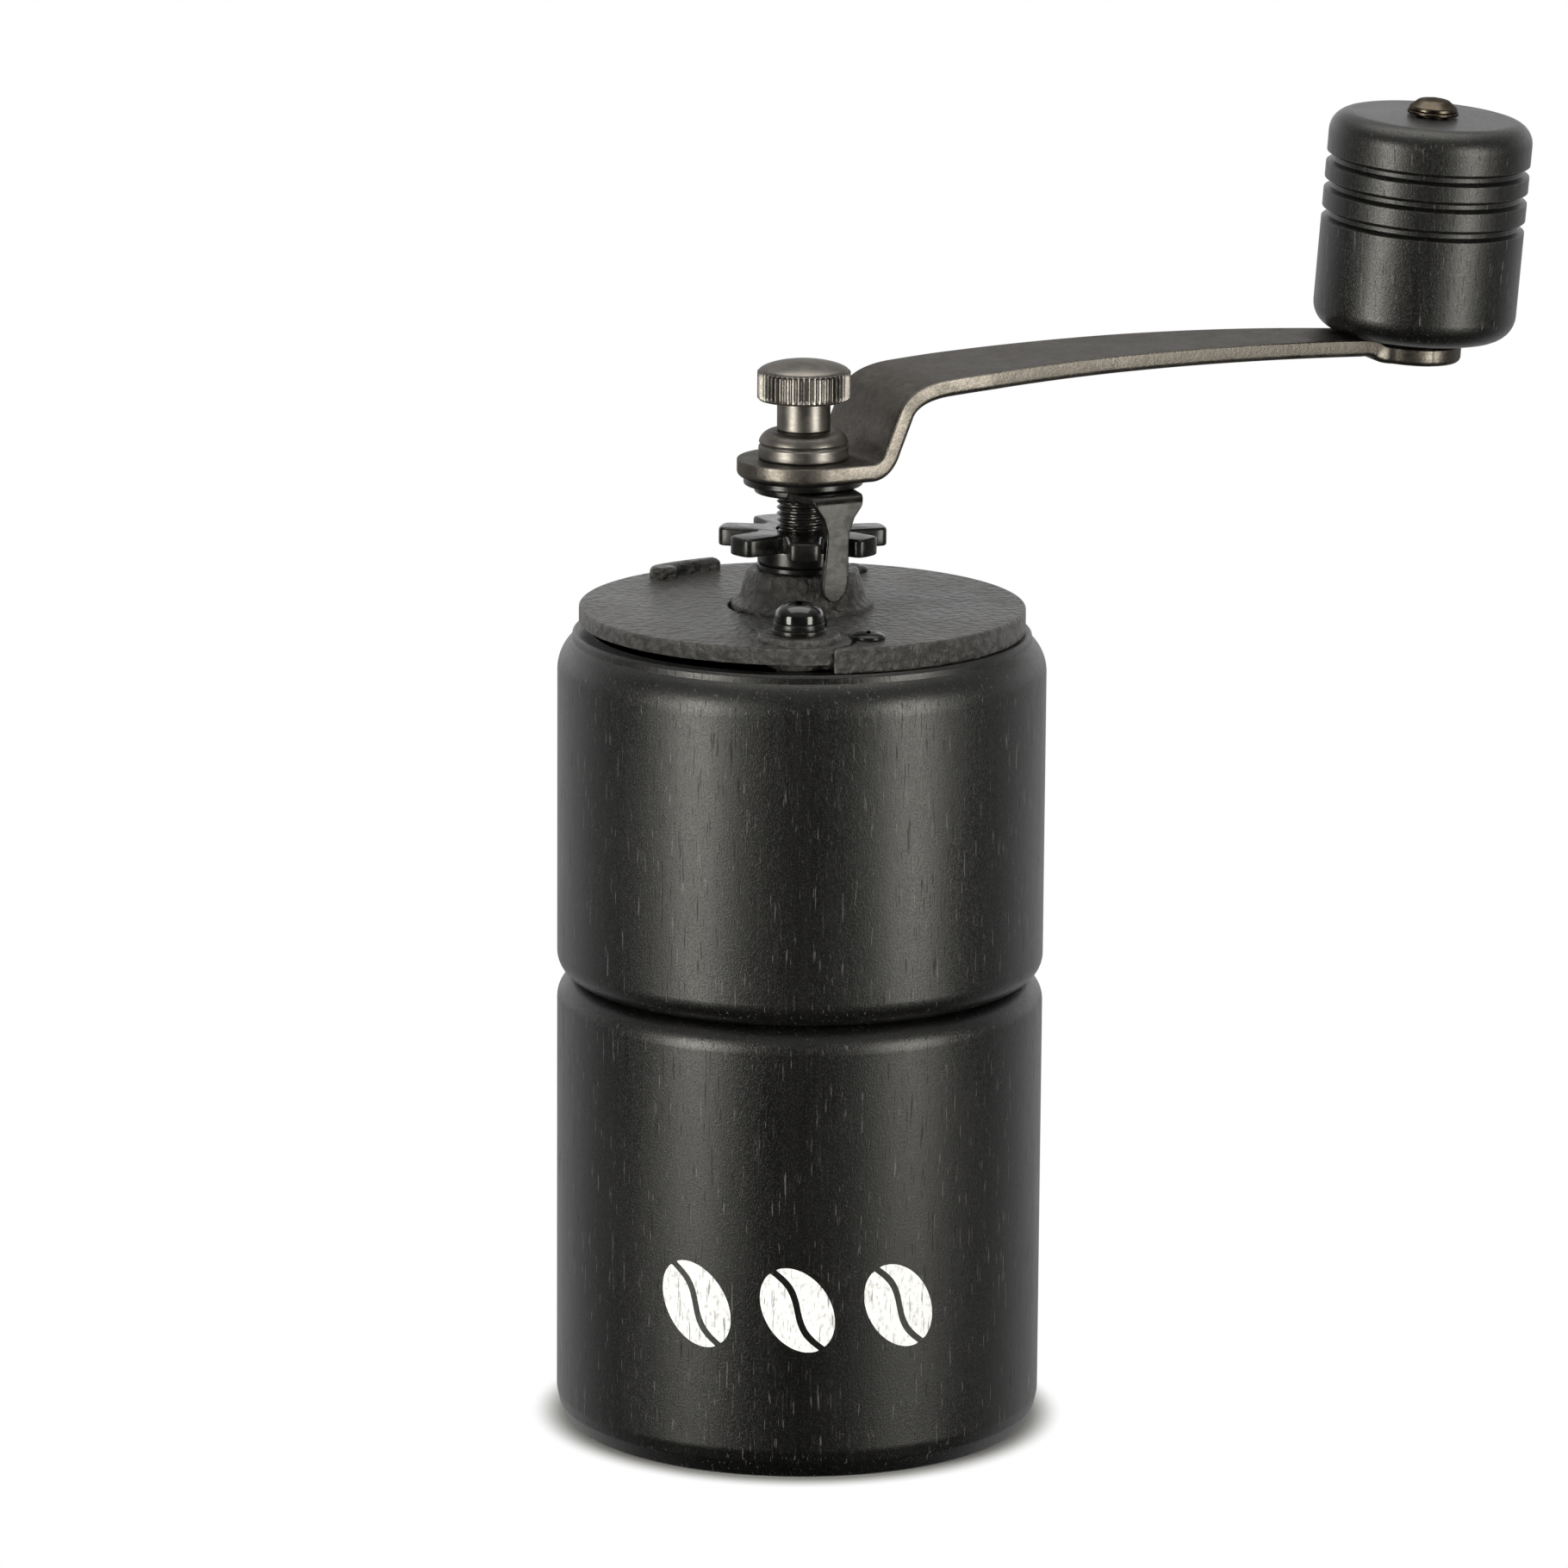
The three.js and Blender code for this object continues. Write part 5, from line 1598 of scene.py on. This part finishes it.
for i in (1, 2, 3):
    seat = flange_high + 0.05
    screw(f"flange_screw_{i}", f"frame_screw_{i}", plain_steel, shank=1.5,
          head=2.7, seat=seat, crown=span(f"frame_screw_{i}")[1][2] - seat, columns=48)

# %% [markdown]
# ## The burrs
# The beans are ground between a ring with slanted teeth and a cone with matching flutes. Both
# are turned shapes whose radius has a saw wave on it that drifts round as it rises. The teeth
# only ever take metal away, so the two burrs stay clear of each other.

# %% Cut the burrs
burr_low, burr_high = (c[2] for c in span("ring_burr"))
cone_low, cone_high = (c[2] for c in span("cone_burr"))
cone_radius = span("cone_burr")[1][0]
RING_TEETH = 36
CONE_TEETH = 24
CONE_BORE = 4.0
RING_SCREW_BORE = 1.5


def saw(t, z, teeth, drift):
    """A wave that rises slowly and falls quickly, teeth times round, turned by drift per mm."""
    turn = (teeth * (t + drift * z) / (2 * np.pi)) % 1
    return np.where(turn < 0.75, turn / 0.75, (1 - turn) / 0.25)


def ring_teeth(t, r, z):
    """Teeth cut outwards into the ring's bore."""
    return np.where(r < cone_radius + 2.4, 0.9 * saw(t, z, RING_TEETH, 0.03), 0)


def cone_teeth(t, r, z):
    """Flutes cut inwards into the cone, deeper towards its top."""
    share = np.clip((z - cone_low) / (cone_high - cone_low), 0, 1)
    outer = r > 5.4
    return np.where(outer, -(0.6 + 0.9 * share) * saw(t, z, CONE_TEETH, 0.05), 0)


def ring_profile():
    """The slanted bore in rows for the teeth, then the plain outside."""
    bore = cone_radius + 0.4
    inner = np.column_stack((np.linspace(bore + 1, bore, 16), np.linspace(burr_high,
                                                                         burr_low, 16)))
    outer = rounded([(*inner[-1], 0), (burr_radius, burr_low, 0.4), (burr_radius, burr_high, 0.4),
                     (*inner[0], 0)], steps=4)
    return np.vstack((inner, outer[1:-1]))


def cone_profile():
    """A short cylinder, then a cone, in rows for the flutes."""
    side = np.column_stack((np.interp(np.linspace(0, 1, 22), [0, 0.2, 1],
                                      [cone_radius, cone_radius, 6.6]),
                            np.linspace(cone_low, cone_high, 22)))
    return np.vstack(((CONE_BORE, cone_low), side, (CONE_BORE, cone_high)))


outer_burr = turned("toothed_ring_burr", ring_profile(), 432, wobble=ring_teeth)
burr_screws = [middle(f"burr_screw_{i}") for i in (1, 2, 3)]
cut(outer_burr, *[rod("bore", RING_SCREW_BORE, burr_low - 2, burr_high + 2, place, 32)
                  for place in burr_screws])
dress(outer_burr, "ring_burr", plain_steel)
inner_burr = turned("toothed_cone_burr", cone_profile(), 432, wobble=cone_teeth)
dress(inner_burr, "cone_burr", plain_steel)


def burr_screw(i):
    """A small countersunk screw, head down, that holds the ring burr up."""
    node = f"burr_screw_{i}"
    low, high = span(node)
    profile = rounded([(0, low[2], 0), (1.7, low[2] + 0.1, 0.3), (2.5, high[2] - 12.1, 0.1),
                       (1.4, high[2] - 12.1, 0), (1.4, high[2], 0.2), (0, high[2], 0)], steps=3)
    profile[:, 1] = np.clip(profile[:, 1], low[2], high[2])
    return dress(turned(f"ring_screw_{i}", profile, 48, burr_screws[i - 1]), node,
                 plain_steel)


for i in (1, 2, 3):
    burr_screw(i)

# %% The burr's washer, nut and spring
CONE_WASHER = 6.5
SPRING_RADIUS = 5.9
SPRING_WIRE = 0.5
SPRING_TURNS = 2.5
SPRING_PLAY = 0.9
low, high = (c[2] for c in span("burr_washer"))
dress(washer("cone_washer", CONE_BORE, CONE_WASHER, low, high), "burr_washer",
      plain_steel)


def hexagon(t, r, z):
    """From a circle to a hexagon: the flats lie at radius x cos 30, with the corners chamfered
    at both ends by a cone."""
    corner = (t + math.radians(30)) % math.radians(60) - math.radians(30)
    flat = nut_corner * math.cos(math.radians(30)) / np.cos(corner)
    near_end = np.minimum(z - burr_nut_low, burr_nut_high - z)
    cone = nut_corner * 0.93 + 1.7 * near_end
    return np.where(r > nut_corner - 0.1, np.minimum(flat, cone) - r, 0)


burr_nut_low, burr_nut_high = (c[2] for c in span("burr_nut"))
nut_corner = 7.5
nut_rows = np.linspace(burr_nut_low, burr_nut_high, 14)
hex_profile = np.vstack(((CONE_BORE, burr_nut_low),
                         np.column_stack((np.full(14, nut_corner), nut_rows)),
                         (CONE_BORE, burr_nut_high)))
dress(turned("cone_nut", hex_profile, 144, wobble=hexagon), "burr_nut",
      plain_steel)


def coil(name, radius, wire, low, high, turns):
    """A wire carried along a helix: the centre line is (R cos a, R sin a, rising), and each
    ring lies in the plane of the radius and the axis. The last rings shrink to close it."""
    a = np.linspace(0, 2 * np.pi * turns, int(72 * turns))[:, None]
    b = np.linspace(0, 2 * np.pi, 20, endpoint=False)[None]
    size = wire * np.ones_like(a)
    size[0] = size[-1] = 0
    share = a / a[-1]
    r = radius + size * np.cos(b)
    z = low + wire + (high - low - 2 * wire) * share + size * np.sin(b)
    return surface(name, np.stack((r * np.cos(a), r * np.sin(a), z), -1))


low, high = (c[2] for c in span("burr_spring"))
spring = coil("burr_lift_spring", SPRING_RADIUS, SPRING_WIRE, low, high - SPRING_PLAY,
              SPRING_TURNS)
dress(spring, "burr_spring", plain_steel)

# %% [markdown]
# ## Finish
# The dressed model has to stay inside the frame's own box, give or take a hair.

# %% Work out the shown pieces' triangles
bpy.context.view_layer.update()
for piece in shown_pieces():
    piece.data.calc_loop_triangles()
